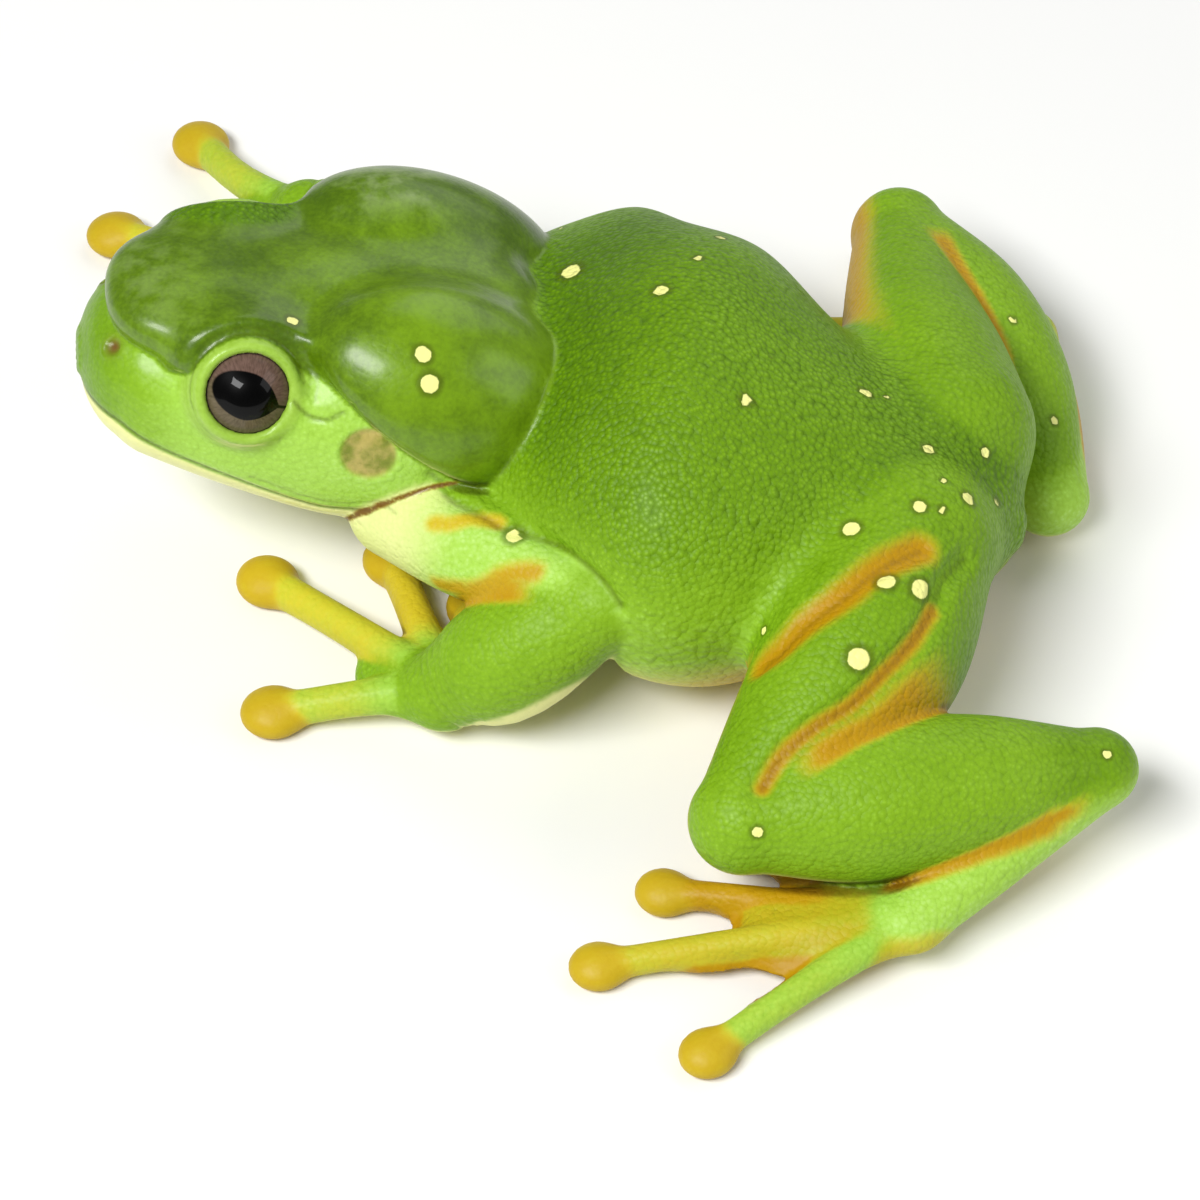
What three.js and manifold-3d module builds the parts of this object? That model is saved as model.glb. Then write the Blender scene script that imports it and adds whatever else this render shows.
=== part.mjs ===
// A plump tree frog with big head glands, at life size, sitting low with its head turned to its left.
// Millimetres. The frog faces -X, its right side is +Y, and the ground is the plane Z = 0.
import * as THREE from "three";
import { mergeVertices } from "three/addons/utils/BufferGeometryUtils.js";
import Module from "manifold-3d";

const wasm = await Module();
wasm.setup();

const deg = Math.PI / 180;
const partingGap = 0.3; // left open between two neighbouring sub-parts
const farAway = 200; // well beyond the frog on every side, for the blocks that trim it

// Where the head sits on the neck. Its own frame has X backwards and its origin between the jaw joints.
const headPlace = { x: -7.5, y: 0.6, z: 24.2, turn: 23.1, nod: 6.7, tilt: -4.9 };

// The whole head: at each distance behind the jaw joints, half its width, and its reach up and down.
const headSections = [
  { x: -33.8, z: -2.5, wide: 5.6, up: 4.0, down: 5.0 },
  { x: -31.0, z: -2.6, wide: 9.4, up: 6.6, down: 7.8 },
  { x: -26.0, z: -2.8, wide: 12.0, up: 8.2, down: 9.5 },
  { x: -18.0, z: -3.2, wide: 14.8, up: 10.2, down: 11.5 },
  { x: -8.0, z: -3.6, wide: 17.9, up: 12.0, down: 12.8 },
  { x: 3.0, z: -4.0, wide: 18.4, up: 12.8, down: 11.6 },
  { x: 10.0, z: -4.0, wide: 16.6, up: 12.2, down: 9.6 },
];
const snoutTip = -34.8;
const nape = 13.5;
const headSquareness = { above: 2.2, below: 2.7 };
const mouth = { frontX: -34.0, frontZ: -5.2, backX: -3.0, backZ: -9.6 }; // the line where the lips meet
const jawBack = 1.5; // the lower jaw ends this far behind the jaw joints

const eye = { x: -18.2, side: 11.2, z: 1.8, radius: 5.2, raised: 26 }; // it looks up by this many degrees
const eyelid = { radius: 6.3, opening: 3.0 }; // the lids end this far out from the eye's middle
const eardrum = { x: -6.0, side: 17.6, z: -1.7, radius: 2.9, half: 0.9 };

// Skin glands: a shared one over the snout, crown and brows, and one behind each eye that leans outwards.
const snoutGland = { x: -19.0, z: 5.1, long: 13.2, wide: 10.4, high: 4.0, low: 2.0, squareness: 2.4 };
const crownGland = { x: -2.4, z: 4.4, long: 15.4, wide: 7.0, high: 5.2, low: 2.0, squareness: 2.2 };
const brow = { radius: 7.5, inside: 1.7, above: 2.0 }; // round the eye: its reach outwards, and its foot
const neckGland = {
  x: 1.5,
  side: 10.4,
  z: 2.3,
  long: 15.4,
  thick: 7.3,
  reach: 11.0,
  lean: 43,
  droop: 17,
  squareness: 2.2,
};
const neckGlandEdge = { z: -2.5, slope: -0.73 }; // the line along which its lower front ends

// The trunk from the chest to the vent.
const trunkSections = [
  { x: -5.5, y: 2.6, z: 16.5, wide: 13.0, up: 7.0, down: 10.4 },
  { x: 3.0, y: 6.0, z: 16.8, wide: 20.0, up: 10.6, down: 15.2 },
  { x: 9.0, y: 5.5, z: 16.9, wide: 24.0, up: 13.0, down: 16.5 },
  { x: 16.0, y: 1.8, z: 17.0, wide: 25.2, up: 16.6, down: 17.7 },
  { x: 25.0, y: -1.6, z: 17.0, wide: 26.2, up: 18.2, down: 18.0 },
  { x: 34.0, y: -3.6, z: 16.6, wide: 21.8, up: 15.2, down: 16.8 },
  { x: 42.0, y: -2.6, z: 16.0, wide: 15.4, up: 12.4, down: 13.8 },
  { x: 49.0, y: -1.2, z: 15.5, wide: 10.8, up: 10.2, down: 10.8 },
  { x: 55.0, y: 0.0, z: 14.8, wide: 6.6, up: 6.8, down: 7.0 },
];
const trunkFront = -9.6;
const vent = 58.8;
const trunkSquareness = { above: 2.05, below: 2.2 };

// Bones, which are the same length on both sides.
const bone = { upperArm: 26.5, forearm: 20, thigh: 36, shank: 36.6, tarsus: 25 };
const hip = { x: 49.0, side: 8.4, z: 18.0 };

// Half-thickness of each fleshy part, at even steps along it, and its height over its width.
const flesh = {
  upperArm: { half: [5.6, 6.0, 5.4, 4.8], tall: 1.0 },
  forearm: { half: [4.8, 6.4, 6.4, 4.6], tall: 0.9 },
  thigh: { half: [9.0, 10.4, 8.6, 5.2], tall: 1.0 },
  shank: { half: [5.2, 8.0, 7.2, 3.9], tall: 1.0 },
  tarsus: { half: [4.2, 4.0, 3.8, 3.4], tall: 0.85 },
};

// The ridge of loose skin along the forearm: how far it stands out behind, and how far below the bone.
const forearmRidge = { half: [1.6, 2.3, 2.2, 1.2], behind: 4.6, below: 3.2 };

// Digits: half the stalk's thickness, the disc's half-length and half-width, and half its thickness.
const finger = { half: 1.95, disc: 3.5, discSide: 3.3, discHalf: 2.0 };
const toe = { half: 1.6, disc: 3.0, discSide: 2.8, discHalf: 1.8 };
const stalkTaper = [1.15, 1.0, 0.92, 1.0]; // the stalk's thickness along it, as shares of the half above
const stalkArch = { at: 0.55, rise: 0.4 }; // where along it the stalk rises above the straight line
const discSink = 0.45; // how far each disc is pressed flat on the ground

// Hands and feet: a flat pad, and a web that reaches this share of the way along the digits.
const palm = { long: 6.5, half: [3.0, 4.6, 4.4], tall: 0.55, webReach: 0.42 };
const sole = { long: 12, half: [3.4, 4.6, 4.6], tall: 0.5, webReach: 0.84 };
const web = { thick: 1.2, height: 1.7, drawnIn: 0.3, flatFrom: 0.7 };
const padLanding = 0.75; // how far the pad's front end has come down from the wrist or ankle to the web

// The pose. Headings turn outwards from straight ahead; slopes are positive upwards; both in degrees. A
// third number bows the flesh of a bone backwards, in millimetres.
// Each finger and toe, from the innermost, has its heading and its reach to the tip of its disc.
const pose = {
  left: {
    shoulder: [-4.0, 14.5, 13.8],
    upperArm: [158.6, 6.5],
    forearm: [20.6, -37],
    fingers: [[-85, 15], [-57, 22], [-26, 26.5], [18, 18]],
    thigh: [77, -10.4, 1.8],
    shank: [-150.1, -2.9],
    tarsus: [55.5, -12],
    toes: [[-42, 16], [-19, 20], [3, 25], [23, 31], [51.5, 24.5]],
  },
  right: {
    shoulder: [1.0, 12.4, 19.2],
    upperArm: [58.3, -27.9],
    forearm: [1.5, -4.5],
    fingers: [[-75, 15], [-44, 19], [-14.3, 22.5], [33.5, 21.5]],
    thigh: [67.5, -8, 0.6],
    shank: [-131.5, -12, 1.8],
    tarsus: [70.8, -1, 0.9],
    toes: [[-68, 15], [-46, 19], [-26, 25], [-8, 28.2], [30, 21]],
  },
};

// How finely each kind of body is divided, round it and along it.
const headMesh = { rings: 6, sides: 13 };
const trunkMesh = { rings: 8, sides: 15 };
const limbMesh = { rings: 4, sides: 10, capRings: 2 };
const stalkMesh = { rings: 2, sides: 5, capRings: 1 };
const ridgeMesh = { rings: 2, sides: 5, capRings: 0 };
const padMesh = { rings: 1, sides: 8, capRings: 1 };
const glandMesh = { across: 10, upright: 6 };
const ballMesh = { across: 10, upright: 6 };
const discMesh = { across: 8, upright: 4 };

const skin = {
  green: { color: 0x5f9a22, roughness: 0.5, metalness: 0 },
  capGreen: { color: 0x47761a, roughness: 0.42, metalness: 0 },
  amber: { color: 0xd9a92c, roughness: 0.45, metalness: 0 },
  eardrum: { color: 0x7f8a3a, roughness: 0.5, metalness: 0 },
  eye: { color: 0x4a3a38, roughness: 0.08, metalness: 0 },
};

// Turns a closed geometry into a solid that can be joined and cut.
function solidFrom(geometry) {
  const bare = geometry.clone();
  bare.deleteAttribute("normal");
  bare.deleteAttribute("uv");
  const merged = mergeVertices(bare, 1e-4);
  return new wasm.Manifold(
    new wasm.Mesh({
      numProp: 3,
      vertProperties: merged.attributes.position.array,
      triVerts: new Uint32Array(merged.index.array),
    }),
  );
}

function geometryFrom(solid) {
  const mesh = solid.getMesh();
  const geometry = new THREE.BufferGeometry();
  geometry.setAttribute("position", new THREE.BufferAttribute(mesh.vertProperties, 3));
  geometry.setIndex(new THREE.BufferAttribute(mesh.triVerts, 1));
  geometry.computeVertexNormals();
  return geometry;
}

// Closes a stack of rings, each with the same number of points, with a point at either end.
function closeRings(rings, startPoint, endPoint) {
  const sides = rings[0].length;
  const points = [startPoint, ...rings.flat(), endPoint];
  const last = points.length - 1;
  const index = [];
  for (let side = 0; side < sides; side++) {
    const next = (side + 1) % sides;
    index.push(0, 1 + next, 1 + side);
    for (let ring = 0; ring < rings.length - 1; ring++) {
      const here = 1 + ring * sides;
      const there = here + sides;
      index.push(here + side, here + next, there + side);
      index.push(here + next, there + next, there + side);
    }
    const end = 1 + (rings.length - 1) * sides;
    index.push(end + side, end + next, last);
  }
  const geometry = new THREE.BufferGeometry().setFromPoints(points);
  geometry.setIndex(index);
  return geometry;
}

const power = (value, exponent) => Math.sign(value) * Math.abs(value) ** exponent;

// A body that lies along X, through oval sections that reach up and down by different amounts.
function bodyAlongX({ sections, front, back, mesh, squareness, grow }) {
  const { rings, sides } = mesh;
  const middles = new THREE.CatmullRomCurve3(sections.map((s) => new THREE.Vector3(s.x, s.y ?? 0, s.z)));
  const reaches = new THREE.CatmullRomCurve3(
    sections.map((s) => new THREE.Vector3(s.wide + grow, s.up + grow, s.down + grow)),
  );
  const made = [];
  for (let ring = 0; ring <= rings; ring++) {
    const middle = middles.getPoint(ring / rings);
    const reach = reaches.getPoint(ring / rings);
    made.push(
      Array.from({ length: sides }, (_, side) => {
        const angle = (side / sides) * 2 * Math.PI;
        const above = Math.sin(angle) > 0;
        const exponent = 2 / (above ? squareness.above : squareness.below);
        const across = power(Math.cos(angle), exponent) * reach.x;
        const rise = power(Math.sin(angle), exponent) * (above ? reach.y : reach.z);
        return new THREE.Vector3(middle.x, middle.y + across, middle.z + rise);
      }),
    );
  }
  const first = sections[0];
  const final = sections[sections.length - 1];
  return closeRings(
    made,
    new THREE.Vector3(front - grow, first.y ?? 0, first.z),
    new THREE.Vector3(back + grow, final.y ?? 0, final.z),
  );
}

// A fleshy limb: an oval tube along a curve, as thick as its half-thicknesses say, with round ends.
function limb({ along, half, tall, mesh, grow = 0 }) {
  const { rings, sides, capRings } = mesh;
  const path = new THREE.CatmullRomCurve3(along, false, "centripetal");
  const thickness = new THREE.CatmullRomCurve3(half.map((h, i) => new THREE.Vector3(i, h + grow, 0)));
  const made = [];
  const addRing = (centre, forward, radius, squeeze) => {
    const across = new THREE.Vector3(0, 0, 1).cross(forward).normalize();
    const above = forward.clone().cross(across);
    made.push(
      Array.from({ length: sides }, (_, side) => {
        const angle = (side / sides) * 2 * Math.PI;
        return centre
          .clone()
          .addScaledVector(across, Math.cos(angle) * radius * squeeze)
          .addScaledVector(above, Math.sin(angle) * radius * squeeze * tall);
      }),
    );
  };
  const start = path.getPoint(0);
  const end = path.getPoint(1);
  const startWay = path.getTangent(0);
  const endWay = path.getTangent(1);
  const startRadius = half[0] + grow;
  const endRadius = half[half.length - 1] + grow;
  for (let cap = 1; cap <= capRings; cap++) {
    const angle = (cap / (capRings + 1)) * (Math.PI / 2);
    const centre = start.clone().addScaledVector(startWay, -startRadius * Math.cos(angle));
    addRing(centre, startWay, startRadius, Math.sin(angle));
  }
  for (let ring = 0; ring <= rings; ring++) {
    const step = ring / rings;
    addRing(path.getPoint(step), path.getTangent(step), thickness.getPoint(step).y, 1);
  }
  for (let cap = capRings; cap >= 1; cap--) {
    const angle = (cap / (capRings + 1)) * (Math.PI / 2);
    const centre = end.clone().addScaledVector(endWay, endRadius * Math.cos(angle));
    addRing(centre, endWay, endRadius, Math.sin(angle));
  }
  return closeRings(
    made,
    start.clone().addScaledVector(startWay, -startRadius),
    end.clone().addScaledVector(endWay, endRadius),
  );
}

// A rounded lump, squarer than an ellipsoid as its squareness rises above 2.
function lump({ half, low = half.z, squareness = 2, mesh }) {
  const geometry = new THREE.SphereGeometry(1, mesh.across, mesh.upright).rotateX(Math.PI / 2);
  const position = geometry.attributes.position;
  for (let i = 0; i < position.count; i++) {
    const point = new THREE.Vector3().fromBufferAttribute(position, i);
    const parts = point.toArray().map((part) => Math.abs(part) ** squareness);
    const size = (parts[0] + parts[1] + parts[2]) ** (-1 / squareness);
    point.multiplyScalar(size);
    position.setXYZ(i, point.x * half.x, point.y * half.y, point.z * (point.z > 0 ? half.z : low));
  }
  return geometry;
}

function block({ from, to }) {
  const size = to.clone().sub(from);
  const geometry = new THREE.BoxGeometry(size.x, size.y, size.z);
  return geometry.translate((from.x + to.x) / 2, (from.y + to.y) / 2, (from.z + to.z) / 2);
}

// The head's own frame within the frog's.
const headFrame = new THREE.Matrix4().compose(
  new THREE.Vector3(headPlace.x, headPlace.y, headPlace.z),
  new THREE.Quaternion().setFromEuler(
    new THREE.Euler(headPlace.tilt * deg, headPlace.nod * deg, headPlace.turn * deg, "ZYX"),
  ),
  new THREE.Vector3(1, 1, 1),
);

const wholeHead = (grow) =>
  bodyAlongX({
    sections: headSections,
    front: snoutTip,
    back: nape,
    mesh: headMesh,
    squareness: headSquareness,
    grow,
  }).applyMatrix4(headFrame);

// Everything below the line of the lips and in front of the jaw joints.
function jawBlock(grow) {
  const slope = Math.atan2(mouth.frontZ - mouth.backZ, mouth.backX - mouth.frontX);
  const lips = block({
    from: new THREE.Vector3(-farAway, -farAway, -farAway),
    to: new THREE.Vector3(jawBack - mouth.backX + grow, farAway, 0),
  });
  lips.rotateY(slope);
  lips.translate(mouth.backX, 0, mouth.backZ + grow);
  return lips.applyMatrix4(headFrame);
}

// A round body set in the head, on one side: a ball, or a flat disc if its half-thickness is less.
function headBall({ place, radius, half = radius, mesh, side, grow }) {
  const reach = new THREE.Vector3(radius, half, radius).addScalar(grow);
  const ball = lump({ half: reach, mesh });
  ball.translate(place.x, side * place.side, place.z);
  return ball.applyMatrix4(headFrame);
}

// In the frame of the eye, whose Y runs out of it: a block from a height over it out to a distance.
function eyeBlock(side, out, low) {
  const shape = block({
    from: new THREE.Vector3(-farAway, side > 0 ? -farAway : -out, low),
    to: new THREE.Vector3(farAway, side > 0 ? out : farAway, farAway),
  });
  shape.rotateX(side * eye.raised * deg);
  shape.translate(eye.x, side * eye.side, eye.z);
  return solidFrom(shape.applyMatrix4(headFrame));
}

// The lids: a cup round the eye, open on the outside.
function eyelids(side, grow) {
  const cup = headBall({ place: eye, radius: eyelid.radius, mesh: ballMesh, side, grow });
  return solidFrom(cup).intersect(eyeBlock(side, eyelid.opening + grow, -farAway));
}

// The brow: the upper part of a larger ball round the eye.
function browShape(side, grow) {
  const ball = headBall({ place: eye, radius: brow.radius, mesh: ballMesh, side, grow });
  return solidFrom(ball).intersect(eyeBlock(side, brow.inside + grow, brow.above - grow));
}

// A step from a joint: heading outwards from straight ahead, slope upwards, on the side given.
function step(from, [heading, slope], length, side) {
  const flat = Math.cos(slope * deg) * length;
  return from
    .clone()
    .add(
      new THREE.Vector3(
        -Math.cos(heading * deg) * flat,
        side * Math.sin(heading * deg) * flat,
        Math.sin(slope * deg) * length,
      ),
    );
}

// The tip of a digit: its disc lies on the ground.
function digitTip(root, heading, reach, size, side) {
  const tip = step(root, [heading, 0], Math.sqrt(reach ** 2 - (root.z - size.discHalf) ** 2), side);
  tip.z = size.discHalf - discSink;
  return tip;
}

function digit(root, tip, size, grow) {
  const arch = root.clone().lerp(tip, stalkArch.at);
  arch.z += stalkArch.rise;
  const stalk = limb({
    along: [root, arch, tip],
    half: stalkTaper.map((share) => share * size.half),
    tall: 1,
    mesh: stalkMesh,
    grow,
  });
  const half = new THREE.Vector3(size.disc, size.discSide, size.discHalf).addScalar(grow);
  const disc = lump({ half, mesh: discMesh });
  disc.rotateZ(Math.atan2(tip.y - root.y, tip.x - root.x));
  disc.translate(tip.x, tip.y, tip.z);
  return solidFrom(stalk).add(solidFrom(disc));
}

// The web of a hand or foot: a thin fan from the root, drawn in between one digit and the next.
function webFan(root, tips, share, grow) {
  const flatRoot = new THREE.Vector2(root.x, root.y);
  const edge = tips.map((tip) => new THREE.Vector2(tip.x, tip.y).lerp(flatRoot, 1 - share));
  const outline = new THREE.Shape();
  outline.moveTo(flatRoot.x, flatRoot.y);
  outline.lineTo(edge[0].x, edge[0].y);
  edge.slice(1).forEach((point, i) => {
    const between = point.clone().lerp(edge[i], 0.5).lerp(flatRoot, web.drawnIn);
    outline.quadraticCurveTo(between.x, between.y, point.x, point.y);
  });
  outline.closePath();
  const depth = web.thick + 2 * grow;
  const fan = new THREE.ExtrudeGeometry(outline, { depth, bevelEnabled: false, curveSegments: 2 });
  const position = fan.attributes.position;
  const reach = Math.max(...edge.map((point) => point.distanceTo(flatRoot)));
  for (let i = 0; i < position.count; i++) {
    const away = new THREE.Vector2(position.getX(i), position.getY(i)).distanceTo(flatRoot) / reach;
    const middle = THREE.MathUtils.lerp(root.z, web.height, Math.min(away / web.flatFrom, 1));
    position.setZ(i, position.getZ(i) - depth / 2 + middle);
  }
  return fan;
}

// The frog's sub-parts, each with the shape it would have alone and grown by the parting gap.
// Those named first keep their shape, and those after them are cut back from them.
const subparts = [];
const addPart = (name, finish, group, make, webShape) =>
  subparts.push({ name, finish, group, make, webShape });
const fromGeometry = (make) => (grow) => solidFrom(make(grow));

const frog = new THREE.Group();
frog.name = "tree_frog";
const headGroup = new THREE.Group();
headGroup.applyMatrix4(headFrame);
frog.add(headGroup);

const sides = { left: -1, right: 1 };
const bothSides = Object.entries(sides);

for (const [label, side] of bothSides) {
  const make = (grow) => headBall({ place: eye, radius: eye.radius, mesh: ballMesh, side, grow });
  addPart(`${label}_eye`, skin.eye, headGroup, fromGeometry(make));
}

for (const [label, side] of bothSides) {
  const { radius, half } = eardrum;
  const make = (grow) => headBall({ place: eardrum, radius, half, mesh: discMesh, side, grow });
  addPart(`${label}_eardrum`, skin.eardrum, headGroup, fromGeometry(make));
}

// Everything below the line that the neck glands' lower front edges follow.
function underGland(grow) {
  const { z, slope } = neckGlandEdge;
  const below = block({
    from: new THREE.Vector3(-farAway, -farAway, -farAway),
    to: new THREE.Vector3(farAway, farAway, 0),
  });
  below.rotateY(-Math.atan(slope));
  below.translate(0, 0, z - grow * Math.hypot(1, slope));
  return solidFrom(below.applyMatrix4(headFrame));
}

for (const [label, side] of bothSides) {
  const make = (grow) => {
    const half = new THREE.Vector3(neckGland.long, neckGland.thick, neckGland.reach).addScalar(grow);
    const gland = lump({ half, squareness: neckGland.squareness, mesh: glandMesh });
    gland.rotateX(side * neckGland.lean * deg);
    gland.rotateY(neckGland.droop * deg);
    gland.translate(neckGland.x, side * neckGland.side, neckGland.z);
    return solidFrom(gland.applyMatrix4(headFrame)).subtract(underGland(grow));
  };
  addPart(`${label}_neck_gland`, skin.capGreen, headGroup, make);
}

function topGland({ x, z, long, wide, high, low, squareness }, grow) {
  const half = new THREE.Vector3(long, wide, high).addScalar(grow);
  const gland = lump({ half, low: low + grow, squareness, mesh: glandMesh });
  gland.translate(x, 0, z);
  return solidFrom(gland.applyMatrix4(headFrame));
}

const snoutGlandShape = (grow) =>
  topGland(snoutGland, grow)
    .add(topGland(crownGland, grow))
    .add(browShape(sides.left, grow))
    .add(browShape(sides.right, grow));
addPart("snout_gland", skin.capGreen, headGroup, snoutGlandShape);

const lowerJaw = (grow) => solidFrom(wholeHead(grow)).intersect(solidFrom(jawBlock(grow)));
addPart("lower_jaw", skin.green, headGroup, lowerJaw);

const headWithLids = (grow) => {
  const lids = eyelids(sides.left, grow).add(eyelids(sides.right, grow));
  return solidFrom(wholeHead(grow)).add(lids);
};
addPart("head", skin.green, headGroup, headWithLids);

const trunk = (grow) =>
  bodyAlongX({
    sections: trunkSections,
    front: trunkFront,
    back: vent,
    mesh: trunkMesh,
    squareness: trunkSquareness,
    grow,
  });
addPart("trunk", skin.green, frog, fromGeometry(trunk));

// One limb bone's flesh between two joints, with any ridge of skin along it.
function addFlesh({ name, flesh: { half, tall }, group, from, to, bow = 0, ridge }) {
  const middle = from.clone().lerp(to, 0.5);
  middle.x += bow;
  const make = (grow) => {
    const body = solidFrom(limb({ along: [from, middle, to], half, tall, mesh: limbMesh, grow }));
    return ridge ? body.add(ridge(grow)) : body;
  };
  addPart(name, skin.green, group, make);
}

// The ridge of loose skin behind and below the forearm.
function ridgeAlong(elbow, wrist, side, grow) {
  const way = wrist.clone().sub(elbow).normalize();
  const offset = way.cross(new THREE.Vector3(0, 0, side)).multiplyScalar(forearmRidge.behind);
  offset.z -= forearmRidge.below;
  const along = [[0, 0.4], [0.35, 1], [0.7, 0.9], [1, 0.3]].map(([share, reach]) =>
    elbow.clone().lerp(wrist, share).addScaledVector(offset, reach),
  );
  return solidFrom(limb({ along, half: forearmRidge.half, tall: 1, mesh: ridgeMesh, grow }));
}

// A hand or foot: its flat pad with the web, and its digits.
function addDigits({ padName, digitName, group, root, spread, size, pad, side }) {
  const outer = spread.slice(1);
  const padHeading = outer.reduce((sum, [heading]) => sum + heading, 0) / outer.length;
  const padEnd = step(root, [padHeading, 0], pad.long, side);
  padEnd.z = THREE.MathUtils.lerp(root.z, web.height, padLanding);
  const padShape = (grow) =>
    limb({ along: [root, padEnd], half: pad.half, tall: pad.tall, mesh: padMesh, grow });
  const tips = spread.map(([heading, reach]) => digitTip(root, heading, reach, size, side));
  const webShape = (grow) =>
    tips
      .map((tip) => digit(root, tip, size, partingGap))
      .reduce(
        (rest, solid) => rest.subtract(solid),
        solidFrom(webFan(root, tips, pad.webReach, grow)),
      );
  addPart(padName, skin.green, group, fromGeometry(padShape), webShape);
  tips.forEach((tip, i) => {
    addPart(`${digitName}_${i + 1}`, skin.amber, group, (grow) => digit(root, tip, size, grow));
  });
}

for (const [label, side] of bothSides) {
  const stance = pose[label];
  const arm = new THREE.Group();
  const [shoulderX, shoulderSide, shoulderZ] = stance.shoulder;
  arm.position.set(shoulderX, side * shoulderSide, shoulderZ);
  frog.add(arm);
  const elbow = step(arm.position, stance.upperArm, bone.upperArm, side);
  const wrist = step(elbow, stance.forearm, bone.forearm, side);
  addFlesh({
    name: `${label}_upper_arm`,
    flesh: flesh.upperArm,
    group: arm,
    from: arm.position,
    to: elbow,
  });
  addFlesh({
    name: `${label}_forearm`,
    flesh: flesh.forearm,
    group: arm,
    from: elbow,
    to: wrist,
    ridge: (grow) => ridgeAlong(elbow, wrist, side, grow),
  });
  addDigits({
    padName: `${label}_hand`,
    digitName: `${label}_finger`,
    group: arm,
    root: wrist,
    spread: stance.fingers,
    size: finger,
    pad: palm,
    side,
  });

  const leg = new THREE.Group();
  leg.position.set(hip.x, side * hip.side, hip.z);
  frog.add(leg);
  const knee = step(leg.position, stance.thigh, bone.thigh, side);
  const heel = step(knee, stance.shank, bone.shank, side);
  const footRoot = step(heel, stance.tarsus, bone.tarsus, side);
  addFlesh({
    name: `${label}_thigh`,
    flesh: flesh.thigh,
    group: leg,
    from: leg.position,
    to: knee,
    bow: stance.thigh[2],
  });
  addFlesh({
    name: `${label}_shank`,
    flesh: flesh.shank,
    group: leg,
    from: knee,
    to: heel,
    bow: stance.shank[2],
  });
  addFlesh({
    name: `${label}_tarsus`,
    flesh: flesh.tarsus,
    group: leg,
    from: heel,
    to: footRoot,
    bow: stance.tarsus[2],
  });
  addDigits({
    padName: `${label}_foot`,
    digitName: `${label}_toe`,
    group: leg,
    root: footRoot,
    spread: stance.toes,
    size: toe,
    pad: sole,
    side,
  });
}

const boundsOf = (solid) => {
  const { min, max } = solid.boundingBox();
  return new THREE.Box3(new THREE.Vector3(...min), new THREE.Vector3(...max));
};

const largestBody = (solid) =>
  solid.decompose().reduce((best, body) => (body.volume() > best.volume() ? body : best));

const ground = solidFrom(
  block({
    from: new THREE.Vector3(-farAway, -farAway, -farAway),
    to: new THREE.Vector3(farAway, farAway, 0),
  }),
);

const grown = subparts.map((part) => {
  const solid = part.make(partingGap);
  return { solid, box: boundsOf(solid) };
});

// Cuts a solid back from every sub-part named before the one given.
function cutBack(solid, count) {
  const box = boundsOf(solid);
  return grown
    .slice(0, count)
    .filter((earlier) => earlier.box.intersectsBox(box))
    .reduce((rest, earlier) => rest.subtract(earlier.solid), solid.subtract(ground));
}

subparts.forEach((part, i) => {
  let solid = largestBody(cutBack(part.make(0), i));
  if (part.webShape) {
    solid = largestBody(solid.add(cutBack(part.webShape(0), i)));
  }
  const geometry = geometryFrom(solid);
  part.group.updateWorldMatrix(true, false);
  geometry.applyMatrix4(part.group.matrixWorld.clone().invert());
  const mesh = new THREE.Mesh(geometry, new THREE.MeshStandardMaterial(part.finish));
  mesh.name = part.name;
  part.group.add(mesh);
});

// The origin is the middle of the frog's bounding box, on the ground.
const extent = new THREE.Box3().setFromObject(frog);
const middle = extent.getCenter(new THREE.Vector3());
frog.position.set(-middle.x, -middle.y, -extent.min.z);

export default frog;
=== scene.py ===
import math

import bpy
import numpy as np
from mathutils import Matrix, Vector


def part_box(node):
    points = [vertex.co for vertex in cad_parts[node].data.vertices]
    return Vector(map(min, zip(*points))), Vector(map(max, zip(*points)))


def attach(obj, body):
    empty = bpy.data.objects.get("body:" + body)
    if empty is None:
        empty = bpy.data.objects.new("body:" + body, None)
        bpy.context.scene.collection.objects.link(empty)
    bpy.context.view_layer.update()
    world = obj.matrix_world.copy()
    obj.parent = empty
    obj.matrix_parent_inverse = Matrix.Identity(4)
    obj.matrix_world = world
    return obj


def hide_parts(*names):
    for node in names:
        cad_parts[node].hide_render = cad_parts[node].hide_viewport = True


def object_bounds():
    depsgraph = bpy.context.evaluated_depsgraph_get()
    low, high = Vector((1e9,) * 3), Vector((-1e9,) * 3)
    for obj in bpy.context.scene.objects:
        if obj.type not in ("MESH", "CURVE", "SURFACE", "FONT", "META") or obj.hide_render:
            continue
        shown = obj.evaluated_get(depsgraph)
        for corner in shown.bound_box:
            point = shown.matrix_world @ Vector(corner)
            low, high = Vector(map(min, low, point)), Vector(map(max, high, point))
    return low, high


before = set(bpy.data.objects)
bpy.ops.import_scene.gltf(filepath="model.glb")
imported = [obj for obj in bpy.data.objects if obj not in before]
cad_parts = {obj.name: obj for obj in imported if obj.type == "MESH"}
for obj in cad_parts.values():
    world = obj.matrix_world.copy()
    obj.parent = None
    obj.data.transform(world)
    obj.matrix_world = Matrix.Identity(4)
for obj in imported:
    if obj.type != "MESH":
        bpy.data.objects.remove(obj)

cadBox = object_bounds()
mm = 0.001
nothing = 1e-6  # keeps a division from meeting zero

# Shapes are worked out in millimetres in the frog's own frame: the origin is on the ground between the
# shoulders, x runs backwards, y to the frog's right and z up. The head has a frame of its own, with its
# origin between the jaw joints.
frogFrame = {
    "eyesMiddle": (-23.99, -6.27, 28.10),  # the middle between the two eyes
    "head": (-7.5, 0.6, 24.2),
    "headTurn": 23.1,  # degrees, to the frog's left
    "headNod": 6.7,
    "headTilt": -4.9,
}

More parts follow.
